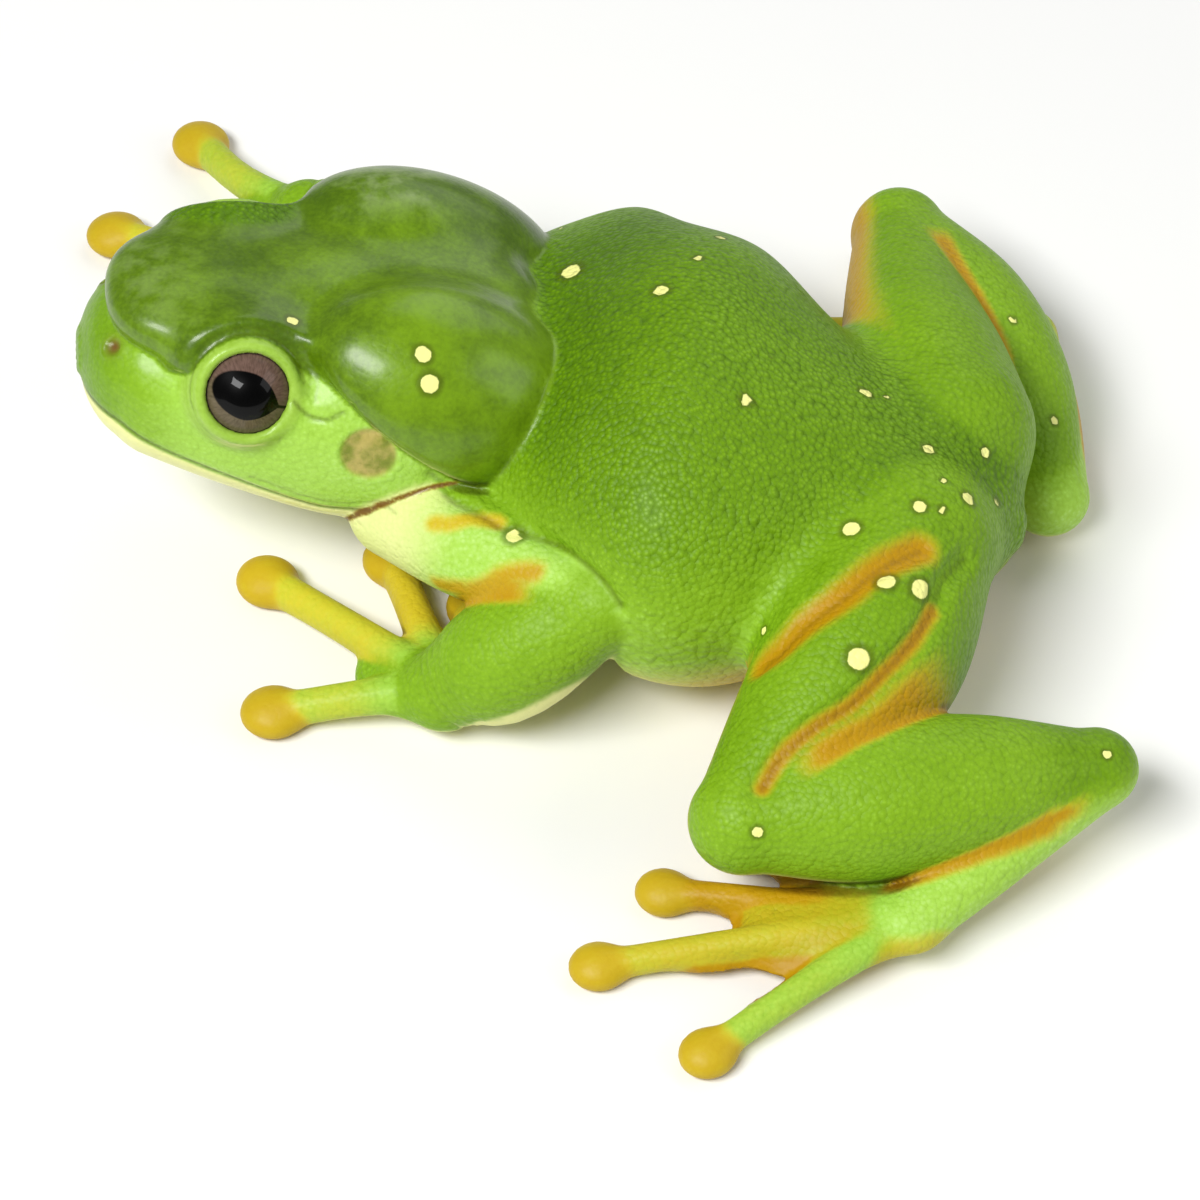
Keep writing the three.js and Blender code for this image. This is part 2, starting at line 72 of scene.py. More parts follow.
eyeCorners = [corner for side in ("left", "right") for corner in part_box(f"{side}_eye")]
frogOrigin = sum(eyeCorners, Vector()) / len(eyeCorners) - Vector(frogFrame["eyesMiddle"]) * mm
frogOrigin.z = cadBox[0][2]
headTurned = (
    Matrix.Rotation(math.radians(frogFrame["headTurn"]), 3, "Z")
    @ Matrix.Rotation(math.radians(frogFrame["headNod"]), 3, "Y")
    @ Matrix.Rotation(math.radians(frogFrame["headTilt"]), 3, "X")
)
sides = {"left": -1, "right": 1}


def headToFrog(point):
    return np.array(headTurned @ Vector(point)) + np.array(frogFrame["head"])


def onHead(side, place):
    # A place in the head's frame, given on the right, on one side of the frog.
    x, y, z = place
    return headToFrog((x, side * y, z))


def frogToHead(place):
    away = [axis - start for axis, start in zip(place, frogFrame["head"])]
    turned = np.array(headTurned)
    return [sum(turned[row][column] * away[row] for row in range(3)) for column in range(3)]


# Each of the next functions gives how far points are outside one simple body, in millimetres.


def smoothMin(a, b, blend):
    share = np.clip(0.5 + 0.5 * (b - a) / blend, 0, 1)
    return b + (a - b) * share - blend * share * (1 - share)


def smoothMax(a, b, blend):
    return -smoothMin(-a, -b, blend)


def ramp(value, low, high):
    share = np.clip((value - low) / (high - low), 0, 1)
    return share * share * (3 - 2 * share)


def throughKeys(keys, values, at):
    # A smooth curve through a few values.
    keys, values = np.asarray(keys, float), np.asarray(values, float)
    slopes = np.gradient(values, keys, axis=0)
    start = np.clip(np.searchsorted(keys, at) - 1, 0, len(keys) - 2)
    span = keys[start + 1] - keys[start]
    step = np.clip((at - keys[start]) / span, 0, 1)
    if values.ndim > 1:
        step, span = step[:, None], span[:, None]
    return (
        (2 * step**3 - 3 * step**2 + 1) * values[start]
        + (step**3 - 2 * step**2 + step) * span * slopes[start]
        + (3 * step**2 - 2 * step**3) * values[start + 1]
        + (step**3 - step**2) * span * slopes[start + 1]
    )


def loft(body):
    # A body along x through oval sections (x, y, z, half width, reach up, reach down), with round ends.
    sections = np.array(body["sections"], float)
    front, back = body["ends"]
    frontRound, backRound = body["rounding"]
    above, below = body["squareness"]
    fine = np.linspace(front, back, 400)
    inner = np.clip(fine, sections[0, 0], sections[-1, 0])
    tables = throughKeys(sections[:, 0], sections[:, 1:], inner)
    frontShare = np.clip((fine - front) / frontRound, 0, 1)
    backShare = np.clip((back - fine) / backRound, 0, 1)
    closing = np.sqrt(1 - (1 - frontShare) ** 2) * np.sqrt(1 - (1 - backShare) ** 2)
    thinnest = 0.02  # the ends' last part of their full width
    tables[:, 2:] *= np.maximum(closing, thinnest)[:, None]
    tables = tables.astype(np.float32)

    def radial(x, y, z):
        middleY, middleZ, wide, up, down = (np.interp(x, fine, tables[:, i]) for i in range(5))
        across, rise = y - middleY, z - middleZ
        high = np.where(rise > 0, up, down)
        power = np.where(rise > 0, above, below)
        size = (np.abs(across) / wide) ** power + (np.abs(rise) / high) ** power
        length = np.sqrt(across * across + rise * rise)
        return length * (1 - 1 / np.maximum(size, nothing) ** (1 / power))

    reach, steepest = 0.25, 1.5  # a slope is taken over this reach, and counts up to this square

    def distance(x, y, z):
        inside = np.clip(x, front + reach, back - reach)
        flat = radial(inside, y, z)
        slope = (radial(inside + reach, y, z) - radial(inside - reach, y, z)) / (2 * reach)
        near = flat / np.sqrt(1 + np.minimum(slope * slope, steepest))
        beyond = np.maximum(np.maximum(front - x, x - back), 0)
        return np.where(beyond > 0, np.hypot(np.maximum(near, 0), beyond), near)

    return distance


def lump(centre, half, squareness=2.0, turned=None, frameOf=None):
    # A rounded lump, squarer than an ellipsoid as its squareness rises above 2.
    turned = np.array(turned if turned is not None else Matrix.Identity(3))

    def distance(x, y, z):
        place = frameOf((x, y, z)) if frameOf else (x, y, z)
        away = [axis - start for axis, start in zip(place, centre)]
        own = [sum(turned[row][i] * away[row] for row in range(3)) for i in range(3)]
        shares = [np.abs(axis) / size for axis, size in zip(own, half)]
        size = np.maximum(sum(share**squareness for share in shares), nothing) ** (1 / squareness)
        lean = sum((share ** (squareness - 1) / reach) ** 2 for share, reach in zip(shares, half))
        steepness = np.sqrt(np.maximum(lean, nothing * nothing)) / size ** (squareness - 1)
        return (size - 1) / np.maximum(steepness, 1 / (2 * max(half)))

    return distance


def spineOf(path, pieces):
    # Points at even steps on a smooth line through a few places.
    path = np.array(path, float)
    along = np.concatenate([[0], np.cumsum(np.linalg.norm(np.diff(path, axis=0), axis=1))])
    return throughKeys(along, path, np.linspace(0, along[-1], pieces + 1))


def nearestOn(spine, x, y, z, tall=1.0):
    # The gap to a line of points, and where along it the nearest place is, counted in pieces.
    best, where = None, None
    for piece, (start, end) in enumerate(zip(spine[:-1], spine[1:])):
        way = (end - start) / (1, 1, tall)
        length = float(way @ way)
        away = [x - start[0], y - start[1], (z - start[2]) / tall]
        share = np.clip((away[0] * way[0] + away[1] * way[1] + away[2] * way[2]) / length, 0, 1)
        off = [axis - share * part for axis, part in zip(away, way)]
        gap = np.sqrt(off[0] ** 2 + off[1] ** 2 + off[2] ** 2)
        if best is None:
            best, where = gap, share
        else:
            nearer = gap < best
            best, where = np.where(nearer, gap, best), np.where(nearer, share + piece, where)
    return best, where


def tube(path, half, tall=1.0, pieces=14):
    # A fleshy tube along a smooth path, with its half thickness and its height over its width.
    spine = spineOf(path, pieces)
    fine = np.linspace(0, pieces, 200)
    thickness = throughKeys(np.linspace(0, pieces, len(half)), half, fine)

    def distance(x, y, z):
        gap, where = nearestOn(spine, x, y, z, tall)
        return gap - np.interp(where, fine, thickness)

    widest = thickness.max()
    distance.low, distance.high = spine.min(0) - widest, spine.max(0) + widest
    return distance


# The pose: headings turn outwards from straight ahead and slopes are positive upwards, both in degrees.
# A third number bends a bone backwards or a digit sideways. A digit has its heading and its reach.
pose = {
    "left": {
        "shoulder": (-4.0, 14.5, 13.8),
        "upperArm": (158.6, 6.5),
        "forearm": (20.6, -37),
        "fingers": ((-85, 15), (-57, 22), (-26, 26.5), (18, 18)),
        "thigh": (77, -10.4, 1.8),
        "shank": (-150.1, -2.9),
        "tarsus": (55.5, -12),
        "toes": ((-42, 16), (-19, 20), (3, 25), (23, 31), (51.5, 24.5)),
    },
    "right": {
        "shoulder": (1.0, 12.4, 19.2),
        "upperArm": (58.3, -27.9),
        "forearm": (1.5, -4.5),
        "fingers": ((-75, 15), (-44, 19), (-14.3, 22.5, 4.5), (33.5, 21.5, 1.3)),
        "thigh": (67.5, -8, -1.2),
        "shank": (-131.5, -12, 0.6),
        "tarsus": (70.8, -1, 0.9),
        "toes": ((-68, 15), (-46, 19), (-26, 25), (-8, 28.2), (30, 21)),
    },
}
skeleton = {
    "hip": (49.0, 8.4, 18.0),
    "upperArm": 26.5,
    "forearm": 20.0,
    "thigh": 36.0,
    "shank": 36.6,
    "tarsus": 25.0,
}


def stepFrom(start, aim, length, side):
    heading, slope = (math.radians(angle) for angle in aim[:2])
    flat = math.cos(slope) * length
    way = (-math.cos(heading) * flat, side * math.sin(heading) * flat, math.sin(slope) * length)
    return np.array(start) + np.array(way)


def jointsOf(label):
    side, stance = sides[label], pose[label]
    joints = {}
    for name, (x, y, z) in (("shoulder", stance["shoulder"]), ("hip", skeleton["hip"])):
        joints[name] = np.array((x, side * y, z))
    chain = (
        ("shoulder", "upperArm", "elbow"),
        ("elbow", "forearm", "wrist"),
        ("hip", "thigh", "knee"),
        ("knee", "shank", "heel"),
        ("heel", "tarsus", "ankle"),
    )
    for start, bone, end in chain:
        joints[end] = stepFrom(joints[start], stance[bone], skeleton[bone], side)
    return joints


joints = {label: jointsOf(label) for label in sides}

# The parts that the skin covers. A section is x, y and z, then half its width, its reach up and down.
trunkShape = {
    "sections": (
        (-5.5, 2.6, 16.5, 15.0, 8.0, 12.0),
        (3.0, 6.0, 16.8, 20.0, 10.6, 15.2),
        (9.0, 5.5, 16.9, 24.0, 13.0, 16.5),
        (16.0, 1.8, 17.0, 25.2, 16.6, 17.7),
        (25.0, -1.6, 17.0, 26.2, 18.2, 18.0),
        (34.0, -3.6, 16.6, 21.8, 15.2, 16.8),
        (42.0, -2.6, 16.0, 15.4, 12.4, 13.8),
        (49.0, -1.2, 15.5, 10.8, 10.2, 10.8),
        (55.0, 0.0, 14.8, 8.0, 8.2, 8.4),
    ),
    "ends": (-10.0, 59.0),
    "rounding": (9.0, 10.0),
    "squareness": (2.05, 2.2),
}

headShape = {
    "sections": (
        (-31.0, 0.0, -2.6, 9.8, 7.0, 8.2),
        (-26.0, 0.0, -2.8, 12.0, 8.2, 9.5),
        (-18.0, 0.0, -3.2, 14.8, 10.2, 11.5),
        (-8.0, 0.0, -3.6, 17.9, 12.0, 12.8),
        (3.0, 0.0, -4.0, 18.4, 12.8, 11.6),
        (10.0, 0.0, -4.0, 16.6, 12.2, 9.6),
    ),
    "ends": (-34.8, 15.0),
    "rounding": (6.5, 9.0),
    "squareness": (2.2, 2.7),
}

eyeShape = {
    "place": (-18.2, 11.2, 1.8),  # in the head's frame, on the right
    "raised": 26.0,  # degrees that the eye looks up from straight out
    "radius": 5.2,
    "lids": 6.3,  # radius of the bulge that the lids make
    "opening": 3.0,  # from the eye's middle out to the edge of the lids
    "rim": (4.85, 0.6),  # radius of the lids' rim and half its thickness
}

# The glands make one bonnet: over the snout, over each eye and behind it.
bonnetShape = {
    "snout": {"centre": (-19.0, 0.0, 5.1), "half": (13.2, 10.4, 4.0), "squareness": 2.4},
    "crown": {"centre": (-2.4, 0.0, 4.4), "half": (15.4, 7.0, 5.2), "squareness": 2.2},
    "brow": {"radius": {"left": 7.5, "right": 8.4}, "inwards": 1.7, "above": 2.0},
    "neck": {"centre": (2.6, 11.2, 1.8), "half": (15.2, 8.4, 10.4), "squareness": 2.0},
    "neckLean": 43.0,
    "neckDroop": 20.0,
    "neckEdge": (-2.5, -0.73),  # height and slope of the line that its lower front edge follows
    "flow": 3.4,  # how softly its lobes run together
    "edge": 0.5,  # how softly it meets the face
}

# Half of each bone's thickness along it, and its height over its width. The right hind leg has its own.
limbShape = {
    "upperArm": ((5.6, 6.0, 5.4, 4.8), 1.0),
    "forearm": ((4.8, 6.4, 6.4, 4.6), 0.9),
    "thigh": ((9.0, 10.4, 8.6, 5.2), 1.0),
    "shank": ((5.2, 8.0, 7.2, 3.9), 1.0),
    "rightThigh": ((9.0, 8.6, 6.8, 5.0), 1.0),
    "rightShank": ((5.2, 8.8, 8.4, 4.2), 1.0),
    "tarsus": ((4.2, 4.0, 3.8, 3.4), 0.85),
}

digitShape = {
    # each: half its thickness, its disc's half length, width and height, and its pad
    "fingers": {"half": 1.95, "disc": (3.5, 3.3, 2.0), "pad": ((3.0, 4.6, 4.4), 0.55, 6.5)},
    "toes": {"half": 1.6, "disc": (3.0, 2.8, 1.8), "pad": ((3.4, 4.6, 4.6), 0.5, 12.0)},
    "discSink": 0.45,  # how far a disc is pressed flat on the ground
    "taper": (1.35, 1.05, 0.95, 1.0),
    "arch": (0.55, 0.4),  # where along a digit it is highest, and how much it rises there
    "landing": 0.75,  # how far down towards the webs the pad comes
    "web": 1.2,
    "webHeight": 1.7,
    "webReach": {"fingers": 0.42, "toes": 0.86},
    "webHollow": 1.0,
}

skinParts = []


def addPart(name, kind, distance, low, high, blend, carve=False):
    part = {"name": name, "kind": kind, "distance": distance, "blend": blend, "carve": carve}
    part["low"], part["high"] = np.array(low, float), np.array(high, float)
    skinParts.append(part)


def addTube(name, kind, path, half, tall, blend, pieces=14):
    body = tube(path, half, tall, pieces)
    addPart(name, kind, body, body.low, body.high, blend)
    return body


def addLimbs(label):
    side, own = sides[label], joints[label]
    bones = (
        ("upperArm", "shoulder", "elbow", 0.8),
        ("forearm", "elbow", "wrist", 1.2),
        ("thigh", "hip", "knee", 4.0),
        ("shank", "knee", "heel", 0.9),
        ("tarsus", "heel", "ankle", 1.0),
    )
    for bone, start, end, blend in bones:
        half, tall = limbShape.get(label + bone.capitalize(), limbShape[bone])
        middle = (own[start] + own[end]) / 2
        middle[0] += sum(pose[label][bone][2:])
        addTube(f"{label}_{bone}", bone, (own[start], middle, own[end]), half, tall, blend)
    addDigits(label, "fingers", own["wrist"])
    addDigits(label, "toes", own["ankle"])


def addDigits(label, kind, root):
    side, spread, shape = sides[label], pose[label][kind], digitShape[kind]
    length, width, high = shape["disc"]
    tips = []
    for heading, reach, *_ in spread:
        tip = stepFrom(root, (heading, 0), math.sqrt(reach**2 - (root[2] - high) ** 2), side)
        tip[2] = high - digitShape["discSink"]
        tips.append(tip)
    outer = [heading for heading, *_ in spread[1:]]
    padHalf, padTall, padLong = shape["pad"]
    padEnd = stepFrom(root, (sum(outer) / len(outer), 0), padLong, side)
    padEnd[2] = root[2] + (digitShape["webHeight"] - root[2]) * digitShape["landing"]
    addTube(f"{label}_{kind}_pad", "pad", (root, padEnd), padHalf, padTall, 1.6, 6)
    share, rise = digitShape["arch"]
    for number, tip in enumerate(tips):
        way = tip - root
        bend = sum(spread[number][2:]) * side / np.linalg.norm(way)
        arch = root + way * share + np.array((-way[1] * bend, way[0] * bend, rise))
        half = [shape["half"] * part for part in digitShape["taper"]]
        addTube(f"{label}_{kind}_{number}", "digit", (root, arch, tip), half, 1.0, 1.0, 8)
        turn = math.atan2(tip[1] - root[1], tip[0] - root[0])
        turned = Matrix.Rotation(turn, 3, "Z")
        disc = lump(tip, (length, width, high), 2.0, turned)
        addPart(f"{label}_{kind}_{number}_disc", "disc", disc, tip - length, tip + length, 0.9)
    for number, (first, second) in enumerate(zip(tips, tips[1:])):
        addWeb(f"{label}_{kind}_web_{number}", root, first, second, digitShape["webReach"][kind])


def addWeb(name, root, first, second, share):
    # A thin sheet between two digits, drawn in between them.
    ways = [np.array(tip[:2]) - root[:2] for tip in (first, second)]
    lengths = [float(np.linalg.norm(way)) for way in ways]
    headings = [math.atan2(way[1], way[0]) for way in ways]
    opened = (headings[1] - headings[0] + math.pi) % (2 * math.pi) - math.pi
    thick, lowered = digitShape["web"] / 2, digitShape["webHeight"]

    def distance(x, y, z):
        away = np.hypot(x - root[0], y - root[1])
        turn = np.arctan2(y - root[1], x - root[0]) - headings[0]
        turn = (turn + np.pi) % (2 * np.pi) - np.pi
        across = turn / opened
        inner = np.clip(across, 0, 1)
        reach = (lengths[0] + (lengths[1] - lengths[0]) * inner) * share
        reach = reach * (1 - digitShape["webHollow"] * inner * (1 - inner))
        outside = np.maximum(away - reach, np.abs(across - inner) * away * abs(opened))
        middle = root[2] + (lowered - root[2]) * np.clip(away / (0.7 * min(lengths)), 0, 1)
        return smoothMax(outside, np.abs(z - middle) - thick, 0.5)

    corners = np.array([root, first, second])
    addPart(name, "web", distance, corners.min(0) - 1, corners.max(0) + 1, 1.0)


armFlange = {
    "half": (1.6, 2.3, 2.2, 1.2),  # half its thickness along it
    "behind": 4.6,  # how far it stands out behind the forearm
    "below": 3.2,
}


def addFlange(label):
    # The pale ridge of loose skin along the back of the forearm.
    elbow, wrist = joints[label]["elbow"], joints[label]["wrist"]
    way = (wrist - elbow) / np.linalg.norm(wrist - elbow)
    behind = np.cross(way, (0, 0, sides[label]))
    offset = behind * armFlange["behind"] - np.array((0, 0, armFlange["below"]))
    path = [elbow + (wrist - elbow) * share + offset * reach
            for share, reach in ((0.0, 0.4), (0.35, 1.0), (0.7, 0.9), (1.0, 0.3))]
    addTube(f"{label}_flange", "flange", path, armFlange["half"], 1.0, 0.6, 8)


eyeAim = math.radians(eyeShape["raised"])


def eyePlaces(side, x, y, z):
    # Offsets from the eye's middle in the head's frame: backwards, up over the eye, and out of it.
    headX, headY, headZ = frogToHead((x, y, z))
    middle = eyeShape["place"]
    back, flat, high = headX - middle[0], side * headY - middle[1], headZ - middle[2]
    up = high * math.cos(eyeAim) - flat * math.sin(eyeAim)
    out = flat * math.cos(eyeAim) + high * math.sin(eyeAim)
    return back, up, out


def lidsOf(side):
    def distance(x, y, z):
        back, up, out = eyePlaces(side, x, y, z)
        bulge = np.sqrt(back**2 + up**2 + out**2) - eyeShape["lids"]
        bulge = smoothMax(bulge, out - eyeShape["opening"], 0.8)
        radius, thick = eyeShape["rim"]
        rim = np.hypot(np.hypot(back, up) - radius, out - eyeShape["opening"]) - thick
        return smoothMin(bulge, rim, 0.4)

    return distance


def socketOf(side):
    def distance(x, y, z):
        back, up, out = eyePlaces(side, x, y, z)
        return np.sqrt(back**2 + up**2 + out**2) - eyeShape["radius"] + 0.08

    return distance


def bonnet():
    neck, brow = bonnetShape["neck"], bonnetShape["brow"]
    lobes = []
    for lobe in (bonnetShape["snout"], bonnetShape["crown"]):
        lobes.append(lump(lobe["centre"], lobe["half"], lobe["squareness"], None, frogToHead))
    x, y, z = neck["centre"]
    for label, side in sides.items():
        lean = Matrix.Rotation(math.radians(side * bonnetShape["neckLean"]), 3, "X")
        droop = Matrix.Rotation(math.radians(bonnetShape["neckDroop"]), 3, "Y")
        gland = lump((x, side * y, z), neck["half"], neck["squareness"], droop @ lean, frogToHead)
        lobes.append(aboveEdge(gland))
        lobes.append(browOf(side, brow["radius"][label], brow))

    def distance(x, y, z):
        joined = lobes[0](x, y, z)
        for lobe in lobes[1:]:
            joined = smoothMin(joined, lobe(x, y, z), bonnetShape["flow"])
        return joined

    return distance


def aboveEdge(gland):
    height, slope = bonnetShape["neckEdge"]

    def distance(x, y, z):
        headX, _, headZ = frogToHead((x, y, z))
        below = (height + slope * headX - headZ) / math.hypot(1, slope)
        return smoothMax(gland(x, y, z), below, 3.0)

    return distance


def browOf(side, radius, brow):
    def distance(x, y, z):
        back, up, out = eyePlaces(side, x, y, z)
        bulge = np.sqrt(back**2 + up**2 + out**2) - radius
        bulge = smoothMax(bulge, out - brow["inwards"], 0.8)
        return smoothMax(bulge, brow["above"] - up, 1.5)

    return distance


def addAroundEyes(kind, distanceOf, reach, blend, carve=False):
    for label, side in sides.items():
        middle = onHead(side, eyeShape["place"])
        low, high = middle - reach, middle + reach
        addPart(f"{label}_{kind}", kind, distanceOf(side), low, high, blend, carve)


def headBox(low, high):
    corners = [headToFrog((x, y, z)) for x in (low[0], high[0]) for y in (low[1], high[1])
               for z in (low[2], high[2])]
    return np.min(corners, 0), np.max(corners, 0)


# Under the left foreleg the trunk's skin ends in a fold that hangs over the upper arm.
armFold = {
    "start": (-1.0, -14.0, 18.2),
    "end": (18.7, -21.3, 19.0),
    "inwards": (0.0, 0.62, -0.78),
    "fades": (17.0, 1.4),  # behind here it runs out, this steeply
    "soft": 1.6,
}


def foldedTrunk():
    whole = loft(trunkShape)
    start, end = np.array(armFold["start"]), np.array(armFold["end"])
    across = np.cross(end - start, armFold["inwards"])
    across /= np.linalg.norm(across)
    if across[2] > 0:
        across = -across

    def distance(x, y, z):
        below = (x - start[0]) * across[0] + (y - start[1]) * across[1] + (z - start[2]) * across[2]
        below = below - np.maximum(x - armFold["fades"][0], 0) * armFold["fades"][1]
        return smoothMax(whole(x, y, z), below, armFold["soft"])

    return distance


trunkFront, trunkBack = trunkShape["ends"]
addPart("trunk", "trunk", foldedTrunk(), (trunkFront, -30, -2), (trunkBack, 30, 38), 1.0)
headInside = loft(headShape)
headAround = headBox((-35, -24, -20), (16, 24, 14))
addPart("head", "head", lambda x, y, z: headInside(*frogToHead((x, y, z))), *headAround, 3.0)
addAroundEyes("lids", lidsOf, 8, 1.2)
for label in sides:
    addLimbs(label)
    addFlange(label)
addPart("bonnet", "bonnet", bonnet(), *headAround, bonnetShape["edge"])
addAroundEyes("socket", socketOf, 7, 0.2, carve=True)

# The skin's field: how far each sample point is outside the frog.
skinMesh = {
    "spacing": (0.4, 0.5),  # between sample points over the head and hands, and behind them
    "coarseFrom": 8.0,
    "margin": 2.5,
    "far": 20.0,  # what the field holds away from every part
    "triangles": 196000,
}


def fieldAxes():
    fine, coarse = (spacing * 1.0 for spacing in skinMesh["spacing"])
    low = np.min([part["low"] for part in skinParts], 0) - skinMesh["margin"]
    high = np.max([part["high"] for part in skinParts], 0) + skinMesh["margin"]
    change = skinMesh["coarseFrom"]
    x = np.concatenate([np.arange(low[0], change, fine), np.arange(change, high[0], coarse)])
    y = np.arange(low[1], high[1], fine)
    z = np.arange(-1.5 * fine, high[2], fine)
    return [axis.astype(np.float32) for axis in (x, y, z)]


def cellsAround(low, high):
    # The block of sample points in a box, and their places as arrays that stretch over it.
    cells, place = [], []
    for i, axis in enumerate(axes):
        start, end = np.searchsorted(axis, (low[i], high[i]))
        cells.append(slice(start, end))
        shape = [1, 1, 1]
        shape[i] = end - start
        place.append(axis[start:end].reshape(shape))
    return tuple(cells), place


def gatherField():
    # Joins all the parts, in their order, into one field.
    field = np.full([len(axis) for axis in axes], skinMesh["far"], np.float32)
    for part in skinParts:
        reach = part["blend"] + skinMesh["margin"]
        cells, place = cellsAround(part["low"] - reach, part["high"] + reach)
        own = part["distance"](*place).astype(np.float32)
        if part["carve"]:
            field[cells] = smoothMax(field[cells], -own, part["blend"])
        else:
            field[cells] = smoothMin(field[cells], own, part["blend"])
    return field


def sampleField(points):
    # The field between its sample points.
    fraction, low = [], []
    for i, axis in enumerate(axes):
        at = np.interp(points[:, i], axis, np.arange(len(axis)))
        base = np.clip(at.astype(int), 0, len(axis) - 2)
        low.append(base)
        fraction.append(at - base)
    value = 0
    for i in (0, 1):
        for j in (0, 1):
            for k in (0, 1):
                weight = 1
                for bit, part in zip((i, j, k), fraction):
                    weight = weight * (part if bit else 1 - part)
                value = value + weight * field[low[0] + i, low[1] + j, low[2] + k]
    return value


def slopeOf(points, reach=0.4):
    # The way out of the frog.
    parts = []
    for i in range(3):
        away = np.zeros(3)
        away[i] = reach
        parts.append(sampleField(points + away) - sampleField(points - away))
    slope = np.stack(parts, 1)
    return slope / np.maximum(np.linalg.norm(slope, axis=1, keepdims=True), nothing)


def onSkin(path):
    # Moves a path's points onto the skin, by half of what is left each time, so that they don't overshoot.
    points = np.array(path, float)
    for _ in range(10):
        points = points - slopeOf(points) * sampleField(points)[:, None] / 2
    return points


print("skin: gathering the field")
axes = fieldAxes()
field = gatherField()
print("skin: field", field.shape)


# Creases, pits and ridges: each is worked into the field along a line, or at a place, on the skin.
def mirrored(path):
    # A path in the head's frame, given on the right, on each side of the frog.
    return {label: [onHead(side, place) for place in path] for label, side in sides.items()}


def aroundEye(radius, start, end, count=9):
    # An arc round the eye, from one angle to another: 0 is behind it and 90 above.
    paths = {}
    for label, side in sides.items():
        points = []
        for turn in np.radians(np.linspace(start, end, count)):
            back, up, out = radius * math.cos(turn), radius * math.sin(turn), 2.0
            flat = out * math.cos(eyeAim) - up * math.sin(eyeAim)
            high = up * math.cos(eyeAim) + out * math.sin(eyeAim)
            points.append(onHead(side, np.array(eyeShape["place"]) + (back, flat, high)))
        paths[label] = points
    return paths


mouthPath = (  # in the head's frame, on the right
    (-34.2, 0, -4.6), (-33.2, 5.5, -4.7), (-31.3, 9, -5.0), (-26.6, 11.6, -6.7),
    (-21.2, 13.2, -8.2), (-15.7, 14.4, -9.5), (-10.1, 15.9, -10.3), (-5.6, 18, -9.6),
)
jawEnd = (0.0, 18, -9.0)  # where the jaw's pale edge runs on to, behind the mouth
faceLines = {
    # each: its path on either side, then half its width, its depth and how much painted shade darkens it
    "mouth": (mirrored(mouthPath), 0.42, 0.36, 0.8),
    "cheekLine": (
        mirrored(((-17.5, 14.6, -7.6), (-13.5, 15.6, -8.4), (-9.5, 16.6, -8.9), (-4.6, 18.6, -7.9),
                  (-2.6, 19.6, -8.2))),
        0.3, 0.2, 0.5,
    ),
    "eyeCorner": (
        mirrored(((-13.6, 15, 2.9), (-12.3, 16.4, 2.1), (-11.1, 17.5, 2.3), (-9.4, 18.2, 3.2))),
        0.35, 0.4, 0.7,
    ),
    "lidFold": (aroundEye(5.85, -40, 200, 15), 0.3, 0.32, 0.55),
    "lidFoldBelow": (aroundEye(5.9, 200, 320, 9), 0.3, 0.2, 0.35),
    "browFold": (aroundEye(6.6, -5, 140, 9), 0.28, 0.22, 0.45),
    "browFoldBehind": (aroundEye(7.3, -8, 70, 7), 0.28, 0.22, 0.45),
}

wristLines = {
    "heights": (0.2, 1.3, 2.4, 3.3),  # how far each is before the wrist
    "radius": 5.2,
    "turn": (-80, 150),  # degrees round the wrist, from its outer side upwards
    "width": 0.28,
    "depth": 0.28,
    # how much painted shade darkens each line
    "dark": 0.35,
}

# The left thigh's upper muscle ends in a soft edge: each place is along the bone, behind it and over it.
thighEdge = {
    "path": ((2, 8, 6), (6, 7.6, 7.6), (10, 8.2, 7.6), (14.5, 8.2, 7.8), (19, 7.3, 7.9),
             (23, 6.0, 7.5), (27, 3.8, 7.3), (31, 2.2, 6.6), (34.3, 1.7, 5.6)),
    "width": 1.0,
    "depth": 2.0,
    # how much painted shade darkens the edge's groove
    "dark": 0.55,
}
bodyLines = {
    # each: places on the skin, then half its width, its depth and how much painted shade darkens it
    "armFold": (
        ((0.2, -16.6, 22.0), (3.0, -18.0, 20.7), (6.4, -19.4, 20.8), (9.2, -20.6, 21.0),
         (13.1, -21.0, 21.0), (17.6, -23.1, 22.0), (21.8, -25.8, 21.8), (23.6, -27.0, 20.6)),
        0.6, 0.7, 0.65,
    ),
    "groin": (
        ((39.0, -29.4, 19.4), (40.2, -28.7, 21.3), (42.1, -26.6, 23.3), (45.3, -23.5, 25.4),
         (48.2, -19.3, 26.4), (51.4, -15.6, 26.1)),
        1.3, 1.8, 0.5,
    ),
}

# The eardrum and the nostril are each a pit in the head's skin with a ridge round it.
drumShape = {
    "place": (-6.0, 18.8, -1.5),
    "pit": (2.7, 0.4, 0.8),  # its radius, its depth and how softly it starts
    "ridge": (3.1, 0.35, 0.3),  # its radius, half its width and its height
}
nostrilShape = {
    "place": (-31.6, 5.6, 2.3),
    "pit": (0.5, 0.8, 0.5),
    "ridge": (1.15, 0.4, 0.25),
}

skinLines = []
skinPits = []


def addLine(path, width, depth, dark):
    spine = spineOf(onSkin(path), 3 * len(path))
    skinLines.append({"spine": spine, "width": width, "depth": depth, "dark": dark})


def addPit(side, shape):
    # A pit in the head's skin and the ridge round it.
    centre = onSkin([onHead(side, shape["place"])])[0]
    radius, depth, soft = shape["pit"]
    skinPits.append({"centre": centre, "radius": radius, "depth": depth, "soft": soft})
    radius, width, height = shape["ridge"]
    addLine(ringAround(centre, radius), width, -height, 0)


def crosswise(way):
    # Two directions at right angles to a way and to each other, the first of them level.
    across = np.cross(way, (0, 0, 1))
    across /= np.linalg.norm(across)
    return across, np.cross(across, way)


